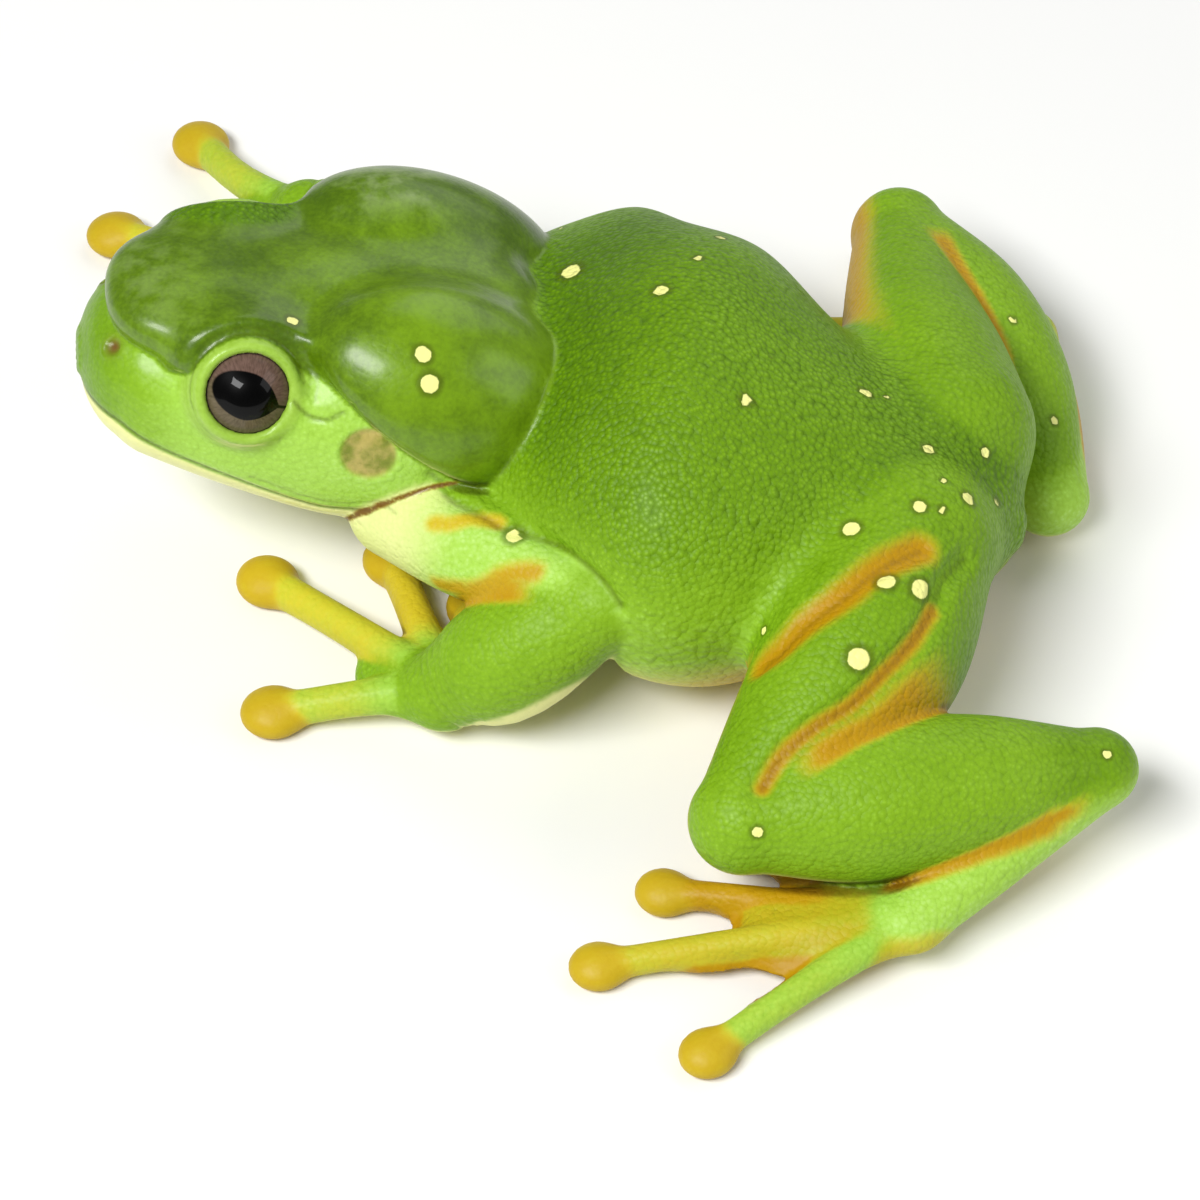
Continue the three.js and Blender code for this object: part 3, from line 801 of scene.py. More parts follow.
def ringAround(centre, radius, count=13):
    # A closed ring on the skin round a place.
    across, rise = crosswise(slopeOf(np.array([centre]))[0])
    turns = np.linspace(0, 2 * math.pi, count)
    return [centre + radius * (math.cos(turn) * across + math.sin(turn) * rise) for turn in turns]


def boneAxes(label, start, end):
    # Along a bone, level and backwards from it, and upwards.
    way = joints[label][end] - joints[label][start]
    way /= np.linalg.norm(way)
    rise = np.array((0, 0, 1)) - way * way[2]
    rise /= np.linalg.norm(rise)
    behind = np.cross(way, rise)
    return way, behind * math.copysign(1, behind[0]), rise


def onThigh(path):
    # Places given along the left thigh's bone, behind it and over it.
    axesOf = np.array(boneAxes("left", "hip", "knee"))
    return [joints["left"]["hip"] + np.array(place) @ axesOf for place in path]


def addWristLines(label):
    elbow, wrist = joints[label]["elbow"], joints[label]["wrist"]
    way = (wrist - elbow) / np.linalg.norm(wrist - elbow)
    across, rise = crosswise(way)
    outside = sides[label] * across
    for before in wristLines["heights"]:
        path = []
        for turn in np.radians(np.linspace(*wristLines["turn"], 9)):
            offset = wristLines["radius"] * (math.cos(turn) * outside + math.sin(turn) * rise)
            path.append(wrist - way * before + offset)
        addLine(path, wristLines["width"], wristLines["depth"], wristLines["dark"])


def addDetails():
    addLine(onThigh(thighEdge["path"]), thighEdge["width"], thighEdge["depth"], thighEdge["dark"])
    for line in bodyLines.values():
        addLine(*line)
    for paths, width, depth, dark in faceLines.values():
        for path in paths.values():
            addLine(path, width, depth, dark)
    for label, side in sides.items():
        addWristLines(label)
        addPit(side, drumShape)
        addPit(side, nostrilShape)


def workDetails():
    # Sinks the lines and pits into the field.
    for line in skinLines:
        reach = 3 * line["width"] + 1
        cells, place = cellsAround(line["spine"].min(0) - reach, line["spine"].max(0) + reach)
        gap, _ = nearestOn(line["spine"], *place)
        field[cells] += (line["depth"] * np.exp(-((gap / line["width"]) ** 2))).astype(np.float32)
    for pit in skinPits:
        reach = pit["radius"] + pit["soft"] + 0.5
        cells, place = cellsAround(pit["centre"] - reach, pit["centre"] + reach)
        gap = np.sqrt(sum((axis - at) ** 2 for axis, at in zip(place, pit["centre"])))
        field[cells] += pit["depth"] * (1 - ramp(gap, pit["radius"], pit["radius"] + pit["soft"]))


addDetails()
workDetails()
field = np.maximum(field, -axes[2][None, None, :])
print("skin:", len(skinLines), "lines and", len(skinPits), "pits")


# The skin's mesh.
def surfaceOf():
    # One point in each cell that the surface crosses, joined by a quad across each edge that it crosses.
    inside = field < 0
    corners = [(i, j, k) for i in (0, 1) for j in (0, 1) for k in (0, 1)]
    shape = [size - 1 for size in field.shape]

    def corner(values, offset):
        return values[tuple(slice(start, start + size) for start, size in zip(offset, shape))]

    count = sum(corner(inside, offset).astype(np.int8) for offset in corners)
    cells = np.argwhere((count > 0) & (count < 8))
    number = np.full(shape, -1, np.int32)
    number[tuple(cells.T)] = np.arange(len(cells))
    values = {c: field[tuple((cells + c).T)] for c in corners}
    total, crossings = np.zeros((len(cells), 3)), np.zeros(len(cells))
    for start in corners:
        for axis in range(3):
            if start[axis]:
                continue
            end = tuple(1 if i == axis else start[i] for i in range(3))
            a, b = values[start], values[end]
            crossed = (a < 0) != (b < 0)
            share = np.where(crossed, a / np.where(crossed, a - b, 1), 0)
            point = np.array(start, float) + share[:, None] * (np.array(end) - np.array(start))
            total += np.where(crossed[:, None], point, 0)
            crossings += crossed
    places = cells + total / crossings[:, None]
    points = [np.interp(places[:, i], np.arange(len(axes[i])), axes[i]) for i in range(3)]
    quads = []
    for axis in range(3):
        first, second = [i for i in range(3) if i != axis]
        before = [slice(None)] * 3
        after = [slice(None)] * 3
        before[axis], after[axis] = slice(0, -1), slice(1, None)
        crossed = inside[tuple(before)] != inside[tuple(after)]
        edges = np.argwhere(crossed)
        edges = edges[(edges[:, first] > 0) & (edges[:, second] > 0)]
        edges = edges[(edges[:, first] < shape[first]) & (edges[:, second] < shape[second])]
        around = []
        for a, b in ((1, 1), (0, 1), (0, 0), (1, 0)):
            cell = edges.copy()
            cell[:, first] -= a
            cell[:, second] -= b
            around.append(number[tuple(cell.T)])
        quad = np.stack(around, 1)
        outwards = inside[tuple(edges.T)] ^ (axis == 1)
        quad[~outwards] = quad[~outwards][:, ::-1]
        quads.append(quad)
    return np.stack(points, 1), np.concatenate(quads)


def relaxed(points, quads, strength):
    # Moves each point towards the middle of its neighbours.
    total, count = np.zeros_like(points), np.zeros(len(points))
    for a, b in ((0, 1), (1, 2), (2, 3), (3, 0)):
        for start, end in ((quads[:, a], quads[:, b]), (quads[:, b], quads[:, a])):
            for i in range(3):
                total[:, i] += np.bincount(start, points[end, i], len(points))
            count += np.bincount(start, minlength=len(points))
    return points + strength * (total / count[:, None] - points)


def settled(points, quads):
    # Evens out the points, and moves them back onto the skin each time.
    for _ in range(3):
        points = relaxed(points, quads, 0.6)
        for _ in range(2):
            points = points - slopeOf(points) * sampleField(points)[:, None] * 0.9
    return points


def plainMesh(name, points, faces):
    data = bpy.data.meshes.new(name)
    data.from_pydata(points.tolist(), [], faces.tolist())
    data.update()
    made = bpy.data.objects.new(name, data)
    bpy.context.scene.collection.objects.link(made)
    return made


def evaluatedMesh(piece):
    # The piece's mesh with its modifiers applied, and the modifiers gone.
    graph = bpy.context.evaluated_depsgraph_get()
    data = bpy.data.meshes.new_from_object(piece.evaluated_get(graph))
    piece.modifiers.clear()
    old = piece.data
    piece.data = data
    bpy.data.meshes.remove(old)
    data.name = piece.name
    return data


points, quads = surfaceOf()
points = settled(points, quads)
points[:, 2] = np.maximum(points[:, 2], 0)
skin = plainMesh("frogSkin", points * mm + np.array(frogOrigin), quads)
if 2 * len(quads) > skinMesh["triangles"]:
    thinner = skin.modifiers.new("thinner", "DECIMATE")
    thinner.ratio = skinMesh["triangles"] / (2 * len(quads))
    evaluatedMesh(skin)
skinData = skin.data
skinData.shade_smooth()
flat = np.empty(3 * len(skinData.vertices), np.float32)
skinData.vertices.foreach_get("co", flat)
skinPlaces = (flat.reshape(-1, 3) - np.array(frogOrigin)) / mm
skinNormals = slopeOf(skinPlaces)
triangles = sum(len(face.vertices) - 2 for face in skinData.polygons)
print("skin:", len(skinPlaces), "points,", triangles, "triangles")

# Where the skin's colours lie: numbers at each of its points, mostly from 0 to 1.
x, y, z = skinPlaces.T
headX, headY, headZ = frogToHead((x, y, z))
facing = skinNormals.T
partGaps = {part["name"]: part["distance"](x, y, z) for part in skinParts}


def gapTo(kind, label="", number=None):
    # How far each point is from the nearest part of a kind.
    ends = "" if number is None else f"_{number}"
    gaps = [
        partGaps[part["name"]]
        for part in skinParts
        if part["kind"] == kind and part["name"].startswith(label) and ends in part["name"]
    ]
    return np.min(gaps, 0)


def onPart(kind, label="", near=0.3, far=1.5):
    # 1 on a kind of part, fading to 0 between near and far from it.
    return 1 - ramp(gapTo(kind, label), near, far)


def painted(values, share, value):
    # The values, changed to one value as far as share goes.
    return values + (value - values) * np.clip(share, 0, 1)


def hiddenShare():
    # How deep in a fold each point lies.
    seen = 0
    for reach in (1.2, 2.6):
        ahead = skinPlaces + skinNormals * reach
        seen = seen + np.clip(sampleField(ahead) / reach, 0, 1) / 2
    return 1 - seen


def lineShade():
    # How much painted shade the crease lines lay on each point.
    darkest = np.zeros(len(skinPlaces))
    for line in skinLines:
        if line["dark"] > 0:
            gap, _ = nearestOn(onSkin(line["spine"]), x, y, z)
            width = min(line["width"], 0.6)
            darkest = np.maximum(darkest, line["dark"] * np.exp(-((gap / width) ** 2)))
    return darkest


capShare = 1 - ramp(gapTo("bonnet"), 0.02, 0.45)
eyeBack, eyeUp, eyeOut = eyePlaces(sides["right"], x, y, z)
nearEye = 1 - ramp(np.sqrt(eyeBack**2 + eyeUp**2 + eyeOut**2), 9.0, 10.0)
capShare = capShare * (1 - nearEye * ramp(eyeOut, -2.2, -0.8))  # the right brow is green outside
lidShare = onPart("lids", near=0.1, far=1.0) * (1 - capShare)
faceShare = onPart("head", near=0.2, far=1.6) * (1 - capShare)
trunkShare = onPart("trunk") * (1 - capShare)

# The trunk's skin reaches down over the left upper arm to the fold's line.
foldX, foldY, _ = np.transpose(bodyLines["armFold"][0])
foldedShare = ramp(y - np.interp(x, foldX, foldY), -0.1, 0.5) * (y < 0) * ramp(z, 17, 18)

# How light the skin is, from the darkest green to the palest.
lightness = {
    "back": 0.39,
    "nape": 0.25,
    "hips": 0.24,
    "flank": 0.64,
    "lowFlank": 0.78,
    "face": 0.79,
    "snout": 0.44,
    "limbs": {
        "upperArm": 0.84, "forearm": 0.54, "pad": 0.58,
        "thigh": 0.48, "shank": 0.54, "tarsus": 0.8,
    },
    "heel": 0.4,
    "digits": 0.74,
    "lids": 0.68,
    "glands": (0.4, 0.62),  # over the snout, and behind the left eye
}


def lightMap():
    # Each ramp has the two places, in millimetres, between which one tone gives way to another.
    values = np.full(len(skinPlaces), lightness["back"])
    values = painted(values, 1 - ramp(x, 8, 26), lightness["nape"])
    values = painted(values, ramp(x, 38, 50) * ramp(z, 18, 26), lightness["hips"])
    values = painted(values, ramp(30 - z, 0, 12) * (1 - ramp(x, 48, 56)), lightness["flank"])
    values = painted(values, ramp(16 - z, 0, 10) * (1 - ramp(x, 48, 56)), lightness["lowFlank"])
    values = painted(values, onPart("digit", near=0.2, far=1.2), lightness["digits"])
    for bone, value in lightness["limbs"].items():
        share = onPart(bone, near=0.2, far=1.2)
        if bone == "upperArm":
            share = share * (1 - foldedShare)
        values = painted(values, share, value)
    for label in sides:
        toHeel = np.linalg.norm(skinPlaces - joints[label]["heel"], axis=1)
        values = painted(values, (1 - ramp(toHeel, 5, 12)) * ramp(z, 9, 13), lightness["heel"])
    values = painted(values, faceShare, lightness["face"])
    values = painted(values, faceShare * ramp(-headX, 22, 34), lightness["snout"])
    values = painted(values, lidShare, lightness["lids"])
    dark, light = lightness["glands"]
    behindEye = ramp(headX, -12, 0) * ramp(-headY, -2, 6)
    return painted(values, capShare, dark + (light - dark) * behindEye)


amberFolds = (
    # on one part, towards another: amber begins this far from it and is full this near, but not around
    # the joint where they meet
    ("shank", "thigh", 1.0, 0.2, "knee", 9.0),
    ("thigh", "shank", 1.2, 0.3, "knee", 9.0),
    ("shank", "tarsus", 0.7, 0.2, "heel", 6.0),
    ("tarsus", "shank", 2.2, 0.5, "heel", 8.0),
    ("upperArm", "forearm", 3.0, 1.0, "elbow", 7.5),
    ("forearm", "upperArm", 1.0, 0.3, "elbow", 7.5),
)
digitAmber = {
    "fingers": ((1.0, 0.2), (1.0, 0.3), (0.75, 0.1), (0.5, 0.05)),  # each: how amber, and how deep
    "toes": ((1.0, 0.8), (1.0, 0.8), (1.0, 0.8), (0.75, 0.35), (0.3, 0.05)),
}
amberLines = (
    # places on the skin, where it is full and where it ends to either side, and how deep
    (((1.8, -20.6, 19.4), (3.3, -20.8, 19.9), (5.5, -20.1, 20.7), (8.4, -19.9, 20.9)), 0.0, 1.9, 0.4),
    (((3.3, -23.6, 13.6), (8.2, -25.2, 16.2), (11.3, -24.8, 19.0), (14.0, -24.6, 20.0)), 0.0, 2.5, 0.7),
    (bodyLines["groin"][0], 0.4, 3.6, 1.0),
    (onThigh(thighEdge["path"][2:]), 0.0, 1.9, 1.0),
)
rearAmber = {"left": 1.0, "right": 0.0}  # how much of it shows behind each thigh
frontAmber = {"left": (0.3, 0.95), "right": (-0.3, 0.5)}  # from how far forwards the thigh faces


def strengthened(maps, share, depth):
    # Amber where share is, at least as strong as before, and as deep as depth makes it.
    amber, deep = maps
    return np.maximum(amber, share), np.maximum(deep, share * depth)


def repainted(maps, share, amber, depth):
    # Amber changed to a strength and depth of its own where share is.
    return painted(maps[0], share, amber), painted(maps[1], share, depth)


def seamShare(kind, other):
    # Along the line where two kinds of part meet.
    gaps = [np.abs(gapTo(part)) for part in (kind, other)]
    return np.prod([1 - ramp(gap, 0.2, 0.65) for gap in gaps], 0)


def behindThigh(label):
    # On the thigh, past the soft edge of its upper muscle, and how far along the bone.
    offset = skinPlaces - joints[label]["hip"]
    along, behind, over = (offset @ axis for axis in boneAxes(label, "hip", "knee"))
    edge = np.array(thighEdge["path"])
    edgeTurn = np.interp(along, edge[:, 0], np.arctan2(edge[:, 2], edge[:, 1]))
    past = ramp(edgeTurn - np.arctan2(over, behind), 0.0, 0.3)
    return past * onPart("thigh", label, 0.4, 1.2), along


def thighAmber(label):
    # Behind the thigh and in front of it.
    past, along = behindThigh(label)
    rear = past * ramp(along, 9, 20) * (1 - ramp(along, 28, 33)) * rearAmber[label]
    _, behind, rise = boneAxes(label, "hip", "knee")
    forwards = -(skinNormals @ behind) * 0.85 - (skinNormals @ rise) * 0.5
    return rear, onPart("thigh", label) * ramp(forwards, *frontAmber[label])


def limbAmber(maps, label):
    for own, other, begins, full, joint, around in amberFolds:
        share = onPart(own, label) * (1 - ramp(gapTo(other, label), full, begins))
        toJoint = np.linalg.norm(skinPlaces - joints[label][joint], axis=1)
        maps = strengthened(maps, share * ramp(toJoint, around - 2, around + 2), 0.85)
    rear, front = thighAmber(label)
    maps = strengthened(maps, rear, 0.9)
    maps = strengthened(maps, front, 0.8)
    for kind, shades in digitAmber.items():
        root = joints[label]["wrist" if kind == "fingers" else "ankle"]
        fromRoot = ramp(np.linalg.norm(skinPlaces - root, axis=1), 3, 11)
        for number, (share, depth) in enumerate(shades):
            digit = (1 - ramp(gapTo("digit", f"{label}_{kind}", number), 0.1, 0.9)) * fromRoot
            maps = repainted(maps, digit, share, depth)
    maps = strengthened(maps, onPart("pad", f"{label}_toes") * 0.7, 0.7)
    web = onPart("web", label, 0.2, 0.8) * (1 - onPart("digit", label, 0.1, 0.5))
    return repainted(maps, web, 1.0, 0.95)


def amberMaps():
    # How amber the skin is, and how deep the amber.
    maps = np.zeros(len(skinPlaces)), np.zeros(len(skinPlaces))
    for label in sides:
        maps = limbAmber(maps, label)
    maps = repainted(maps, onPart("disc", near=0.1, far=1.2), 1.0, 0.55)
    for path, full, ends, depth in amberLines:
        gap, _ = nearestOn(spineOf(onSkin(path), 3 * len(path)), x, y, z)
        streak = 1 - ramp(gap, full, ends)
        maps = np.maximum(maps[0], streak), painted(maps[1], streak, depth)
    byThigh = trunkShare * (1 - ramp(gapTo("thigh"), 0.8, 4.5)) * (1 - ramp(z, 9, 16))
    maps = strengthened(maps, byThigh, 0.8)
    maps = strengthened(maps, seamShare("head", "upperArm"), 1.0)
    belly = trunkShare * ramp(x, 12, 38) * (1 - ramp(z, 7, 17))
    lowChest = onPart("upperArm") * ramp(-facing[2], 0.1, 0.8)
    return np.max([maps[0], 0.8 * belly, 0.6 * lowChest], 0), np.maximum(maps[1], 0.5 * belly)


def paleMap():
    # The cream skin of the throat, the lip, the chest and the belly, and of whatever faces down.
    under = ramp(-facing[2], 0.25, 0.75)
    lipX, _, lipZ = np.transpose((*mouthPath, jawEnd))
    lip = np.interp(headX, lipX, lipZ)
    jaw = faceShare * ramp(lip - headZ, -0.1, 0.7)
    flange = 1 - ramp(gapTo("flange"), 0.05, 0.6)
    chest = 0
    for label in sides:
        offset = skinPlaces - joints[label]["shoulder"]
        along = offset @ boneAxes(label, "shoulder", "elbow")[0]
        chest = np.maximum(chest, onPart("upperArm", label) * (1 - ramp(along, 3, 15)))
    chest = chest * (1 - foldedShare)
    ring = lidShare * 0.2
    belly = trunkShare * (1 - ramp(z, 6, 17))
    return np.max([0.9 * under, jaw, flange, 0.7 * chest, ring, 0.5 * belly], 0)


def capMaps():
    # The glands, and where a pale painted sheen lies on their tops.
    paintedSheenRight = ramp(headZ, 9, 12) * ramp(headY, 4, 9) * ramp(8 - headX, 0, 8)
    paintedSheenFront = ramp(-headX, 20, 30) * ramp(headZ, 5.5, 8.5)
    return capShare, capShare * np.maximum(paintedSheenRight, 0.5 * paintedSheenFront)


def gapToPlace(place):
    # How far each point is from the nearer of two like places, one on each side of the head.
    middles = [onSkin([onHead(side, place)])[0] for side in sides.values()]
    return np.min([np.linalg.norm(skinPlaces - middle, axis=1) for middle in middles], 0)


def drumMap():
    # The eardrums.
    radius = drumShape["ridge"][0]
    return (1 - ramp(gapToPlace(drumShape["place"]), radius - 0.6, radius + 0.1)) * (1 - capShare)


def nostrilMap():
    return np.exp(-(gapToPlace(nostrilShape["place"]) ** 2))


spots = (
    # x, y and z on the skin, and the radius
    (-15.7, -11.5, 35.5, 0.7), (-1.8, -12.3, 34.4, 0.85), (-0.7, -13.9, 32.4, 0.95),
    (7.3, 9.4, 29.0, 1.15), (3.1, 20.1, 24.5, 0.55), (18.6, 4.1, 34.3, 0.9), (20.7, 10.7, 33.5, 0.6),
    (21.3, 17.2, 30.6, 0.55), (31.4, -0.4, 32.9, 0.35), (31.0, -7.3, 32.9, 0.8), (41.2, 1.7, 28.3, 0.7),
    (43.2, 2.7, 27.2, 0.35), (48.8, -2.5, 25.9, 0.7), (51.4, -6.3, 26.4, 0.4), (53.6, 1.8, 22.9, 0.55),
    (50.1, -10.7, 26.7, 0.75), (52.3, -10.0, 26.2, 0.5), (54.2, -6.7, 25.1, 0.75),
    (56.0, -2.7, 20.8, 0.5), (44.2, -14.9, 25.8, 0.9), (38.2, -25.0, 19.4, 0.45),
    (49.1, -20.6, 26.2, 0.95), (52.7, -20.1, 25.1, 1.05), (48.8, -29.4, 23.5, 1.1),
    (43.5, -46.5, 14.8, 0.6), (73.8, -25.7, 13.4, 0.5), (55.4, 17.5, 20.9, 0.5),
    (57.9, 19.2, 11.9, 0.55), (52.0, 27.3, 19.3, 0.5), (10.6, -21.0, 21.1, 0.95),
)


def spotMap():
    # How many of its own radii each point is from the nearest spot.
    nearest = np.full(len(skinPlaces), 4.0)
    for *place, radius in spots:
        centre = onSkin([place])[0]
        nearest = np.minimum(nearest, np.linalg.norm(skinPlaces - centre, axis=1) / radius)
    return nearest


smoothness = {  # of 1, where the back's skin is the grainiest
    "thigh": 0.35, "shank": 0.4, "tarsus": 0.5, "forearm": 0.45, "upperArm": 0.5,
    "disc": 0.9, "digit": 0.6, "web": 0.8, "flange": 0.8, "pad": 0.3,
}


def grainMaps():
    # How grainy the skin is, and how coarse its grains.
    parts = [share * onPart(kind) for kind, share in smoothness.items()]
    smooth = np.max([*parts, 0.88 * capShare, 0.65 * faceShare, 0.9 * lidShare], 0)
    folded = onPart("upperArm") * foldedShare
    smooth = smooth * (1 - folded)
    coarse = np.maximum(trunkShare, folded) * ramp(28 - z, 0, 12) * (1 - ramp(x, 44, 54))
    return 1 - smooth, coarse


skinMaps = {}
skinMaps["light"] = lightMap()
skinMaps["amber"], skinMaps["deep"] = amberMaps()
skinMaps["pale"] = paleMap()
skinMaps["cap"], skinMaps["bloom"] = capMaps()
skinMaps["drum"] = drumMap()
skinMaps["nostril"] = nostrilMap()
skinMaps["spot"] = spotMap()
skinMaps["grain"], skinMaps["coarse"] = grainMaps()
# Painted shade: the crease lines, the deepest folds and the seam under the jaw are darkened in colour,
# standing in for the shade there.
occlusionShade = 0.8 * ramp(hiddenShare(), 0.45, 0.9)
skinMaps["crease"] = np.max([lineShade(), occlusionShade, seamShare("head", "upperArm")], 0)
skinMaps["face"] = np.maximum(faceShare, lidShare)
for name, values in skinMaps.items():
    layer = skinData.attributes.new(name, "FLOAT", "POINT")
    layer.data.foreach_set("value", values.astype(np.float32))
print("skin: maps", ", ".join(skinMaps))


# Finishes.
def paint(red, green, blue):
    # A colour as a screen shows it, out of 255, made linear for the shader.
    return tuple((part / 255) ** 2.2 for part in (red, green, blue)) + (1.0,)


class Wire:
    # One output of a shader node. Sums, differences, products, quotients and powers add Math nodes.
    def __init__(self, finish, socket):
        self.finish, self.socket = finish, socket

    def maths(self, operation, *values):
        return self.finish.node("Math", {"operation": operation}, dict(enumerate(values)))

    def __add__(self, other):
        return self.maths("ADD", self, other)

    def __radd__(self, other):
        return self.maths("ADD", other, self)

    def __sub__(self, other):
        return self.maths("SUBTRACT", self, other)

    def __rsub__(self, other):
        return self.maths("SUBTRACT", other, self)

    def __mul__(self, other):
        return self.maths("MULTIPLY", self, other)

    def __rmul__(self, other):
        return self.maths("MULTIPLY", other, self)

    def __truediv__(self, other):
        return self.maths("DIVIDE", self, other)

    def __pow__(self, other):
        return self.maths("POWER", self, other)

    def larger(self, other):
        return self.maths("MAXIMUM", self, other)

    def size(self):
        return self.maths("ABSOLUTE", self)


class Finish:
    # A material, its shader and the one way to add a node to it.
    def __init__(self, name, **constants):
        self.material = bpy.data.materials.new(name)
        self.material.use_nodes = True
        self.tree = self.material.node_tree
        self.shader = self.tree.nodes["Principled BSDF"]
        for socket, value in constants.items():
            self.shader.inputs[socket.replace("_", " ")].default_value = value

    def node(self, kind, settings=None, sockets=None, output=0):
        made = self.tree.nodes.new("ShaderNode" + kind)
        for name, value in (settings or {}).items():
            if name == "stops":
                self.addStops(made.color_ramp.elements, value)
            else:
                setattr(made, name, value)
        for name, value in (sockets or {}).items():
            self.connect(value, made.inputs[name])
        return Wire(self, made.outputs[output])

    def addStops(self, elements, stops):
        while len(elements) < len(stops):
            elements.new(0.5)
        for element, (place, colour) in zip(elements, stops):
            element.position, element.color = place, colour

    def connect(self, value, socket):
        if isinstance(value, Wire):
            self.tree.links.new(value.socket, socket)
        else:
            socket.default_value = value

    def feed(self, name, value):
        self.connect(value, self.shader.inputs[name])

    def map(self, name):
        return self.node("Attribute", {"attribute_name": name}, output=2)

    def band(self, value, low, high):
        # 0 below low and 1 above high, with a soft step between; low may be the higher.
        settings = {"interpolation_type": "SMOOTHSTEP"}
        return self.node("MapRange", settings, {0: value, 1: low, 2: high})

    def blend(self, first, second, share):
        return self.node("Mix", {"data_type": "RGBA"}, {0: share, 6: first, 7: second}, output=2)

    def place(self):
        return self.node("TexCoord", output=3)

    def noise(self, size, detail):
        # Clouds about as large as size, in metres.
        return self.node("TexNoise", {}, {"Vector": self.place(), "Scale": 1 / size, "Detail": detail})

    def cells(self, size):
        # The distance from the middle of cells of one size, in cells.
        return self.node("TexVoronoi", {}, {"Vector": self.place(), "Scale": 1 / size})


skinLook = {
    "greens": (
        (0.0, paint(64, 92, 0)), (0.25, paint(84, 122, 2)), (0.42, paint(108, 150, 8)),
        (0.6, paint(132, 176, 34)), (0.8, paint(164, 210, 78)), (1.0, paint(196, 234, 134)),
    ),
    "cap": (paint(70, 98, 2), paint(118, 156, 18)),
    "amber": (paint(212, 196, 48), paint(182, 138, 0)),
    "pale": paint(232, 234, 156),
    "drum": (paint(122, 132, 40), paint(182, 166, 92)),
    # the whitish painted sheen laid on the glands' tops
    "bloom": paint(176, 186, 150),
    # painted shade for creases and folds: dark green, and brown where the skin is amber
    "crease": paint(66, 76, 6),
    "foldShade": paint(84, 52, 8),
    "nostril": paint(112, 70, 38),
    "spot": paint(246, 246, 150),
    "spotRim": paint(74, 86, 4),
    "fineGrain": 0.6 * mm,
    "coarseGrain": 0.9 * mm,
    "relief": 0.17 * mm,
}


def skinFinish():
    look = skinLook
    finish = Finish("frogSkin", Specular_IOR_Level=0.24, Coat_Roughness=0.2)
    broad = finish.noise(9 * mm, 3.0)
    middling = finish.noise(2.2 * mm, 4.0)
    fine = finish.noise(0.5 * mm, 2.0)
    wobble = (middling - 0.5) * 0.5 + (fine - 0.5) * 0.4

    fineCells = finish.cells(look["fineGrain"])
    coarseCells = finish.cells(look["coarseGrain"])
    grain = finish.map("grain")
    gaps = fineCells + (coarseCells - fineCells) * finish.map("coarse") * 0.75
    granules = 1 - gaps ** 2 * 1.5
    # Painted glints: small lighter dots in the grains' middles, standing in for sparkles of light on them.
    paintedGlints = finish.band(gaps, 0.42, 0.08)

    cap = finish.map("cap")
    tone = finish.map("light") + (broad - 0.5) * 0.16 + (fine - 0.5) * 0.16
    # The grains' middles are made a little lighter and the gaps between them darker, and the painted glints
    # add small painted highlights.
    tone = tone + (granules - 0.7) * grain * 0.07 + paintedGlints * grain * 0.1
    colour = finish.node("ValToRGB", {"stops": look["greens"]}, {0: tone})
    clouds = (broad - 0.5) * 0.9 + (middling - 0.5) * 0.5 + (fine - 0.5) * 0.5
    capColour = finish.blend(*look["cap"], finish.band(clouds + finish.map("light"), 0.0, 1.0))
    colour = finish.blend(colour, capColour, cap)
    colour = finish.blend(colour, look["pale"], finish.band(finish.map("pale") + wobble * 0.12, 0.05, 0.95))
    drumColour = finish.blend(*look["drum"], finish.band(middling, 0.35, 0.65))
    colour = finish.blend(colour, drumColour, finish.map("drum"))
    amber = finish.band(finish.map("amber") + wobble * 0.5, 0.1, 1.0)
    amberColour = finish.blend(*look["amber"], finish.band(finish.map("deep") + wobble * 0.3, 0.0, 1.0))
    colour = finish.blend(colour, amberColour, amber)
    # Painted shade: creases and folds are darkened in colour, browner where the skin is amber.
    crease = finish.band(finish.map("crease") + (fine - 0.5) * 0.15, 0.1, 1.0)
    colour = finish.blend(colour, finish.blend(look["crease"], look["foldShade"], amber), crease * 0.8)
    # Painted sheen: patches of pale whitish colour on the glands' tops, standing in for light on the glossy
    # skin.
    bloom = finish.map("bloom") * finish.band(middling + broad - 1, -0.1, 0.2) * 0.3
    colour = finish.blend(colour, look["bloom"], bloom)
    colour = finish.blend(colour, look["nostril"], finish.map("nostril"))
    spot = finish.map("spot") + (middling - 0.5) * 0.5
    colour = finish.blend(colour, look["spotRim"], finish.band(spot, 1.9, 1.1) * 0.6)
    spotShare = finish.band(spot, 1.06, 0.9)
    colour = finish.blend(colour, look["spot"], spotShare)
    finish.feed("Base Color", colour)
    wet = cap.larger(finish.map("face") * 0.7)
    finish.feed("Coat Weight", 0.03 + wet * 0.4)
    finish.feed("Roughness", 0.5 - cap * 0.1 + (middling - 0.5) * 0.14 + (0.5 - granules) * grain * 0.1)
    height = granules * grain + fine * 0.18 + middling * 0.25 + spotShare * 0.4
    bump = finish.node("Bump", {}, {"Height": height, "Strength": 0.85, "Distance": look["relief"]})
    finish.feed("Normal", bump)
    return finish.material


skinData.materials.append(skinFinish())
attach(skin, "root")
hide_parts(*[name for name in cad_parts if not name.endswith("_eye")])
print("skin: finished")

# Eyes.
eyeBall = {
    "radius": eyeShape["radius"],
    "turns": 64,
    "rows": 40,
    "bulge": 0.22,  # how far the clear front stands out from the ball
    "bulgeWidth": 0.8,
    "pupil": (0.69, 0.47),  # half its length and half its height, over the ball's radius
    "pupilShift": 0.05,
    "pupilTilt": -20.0,
    "iris": 0.80,  # where the dark rim begins
}


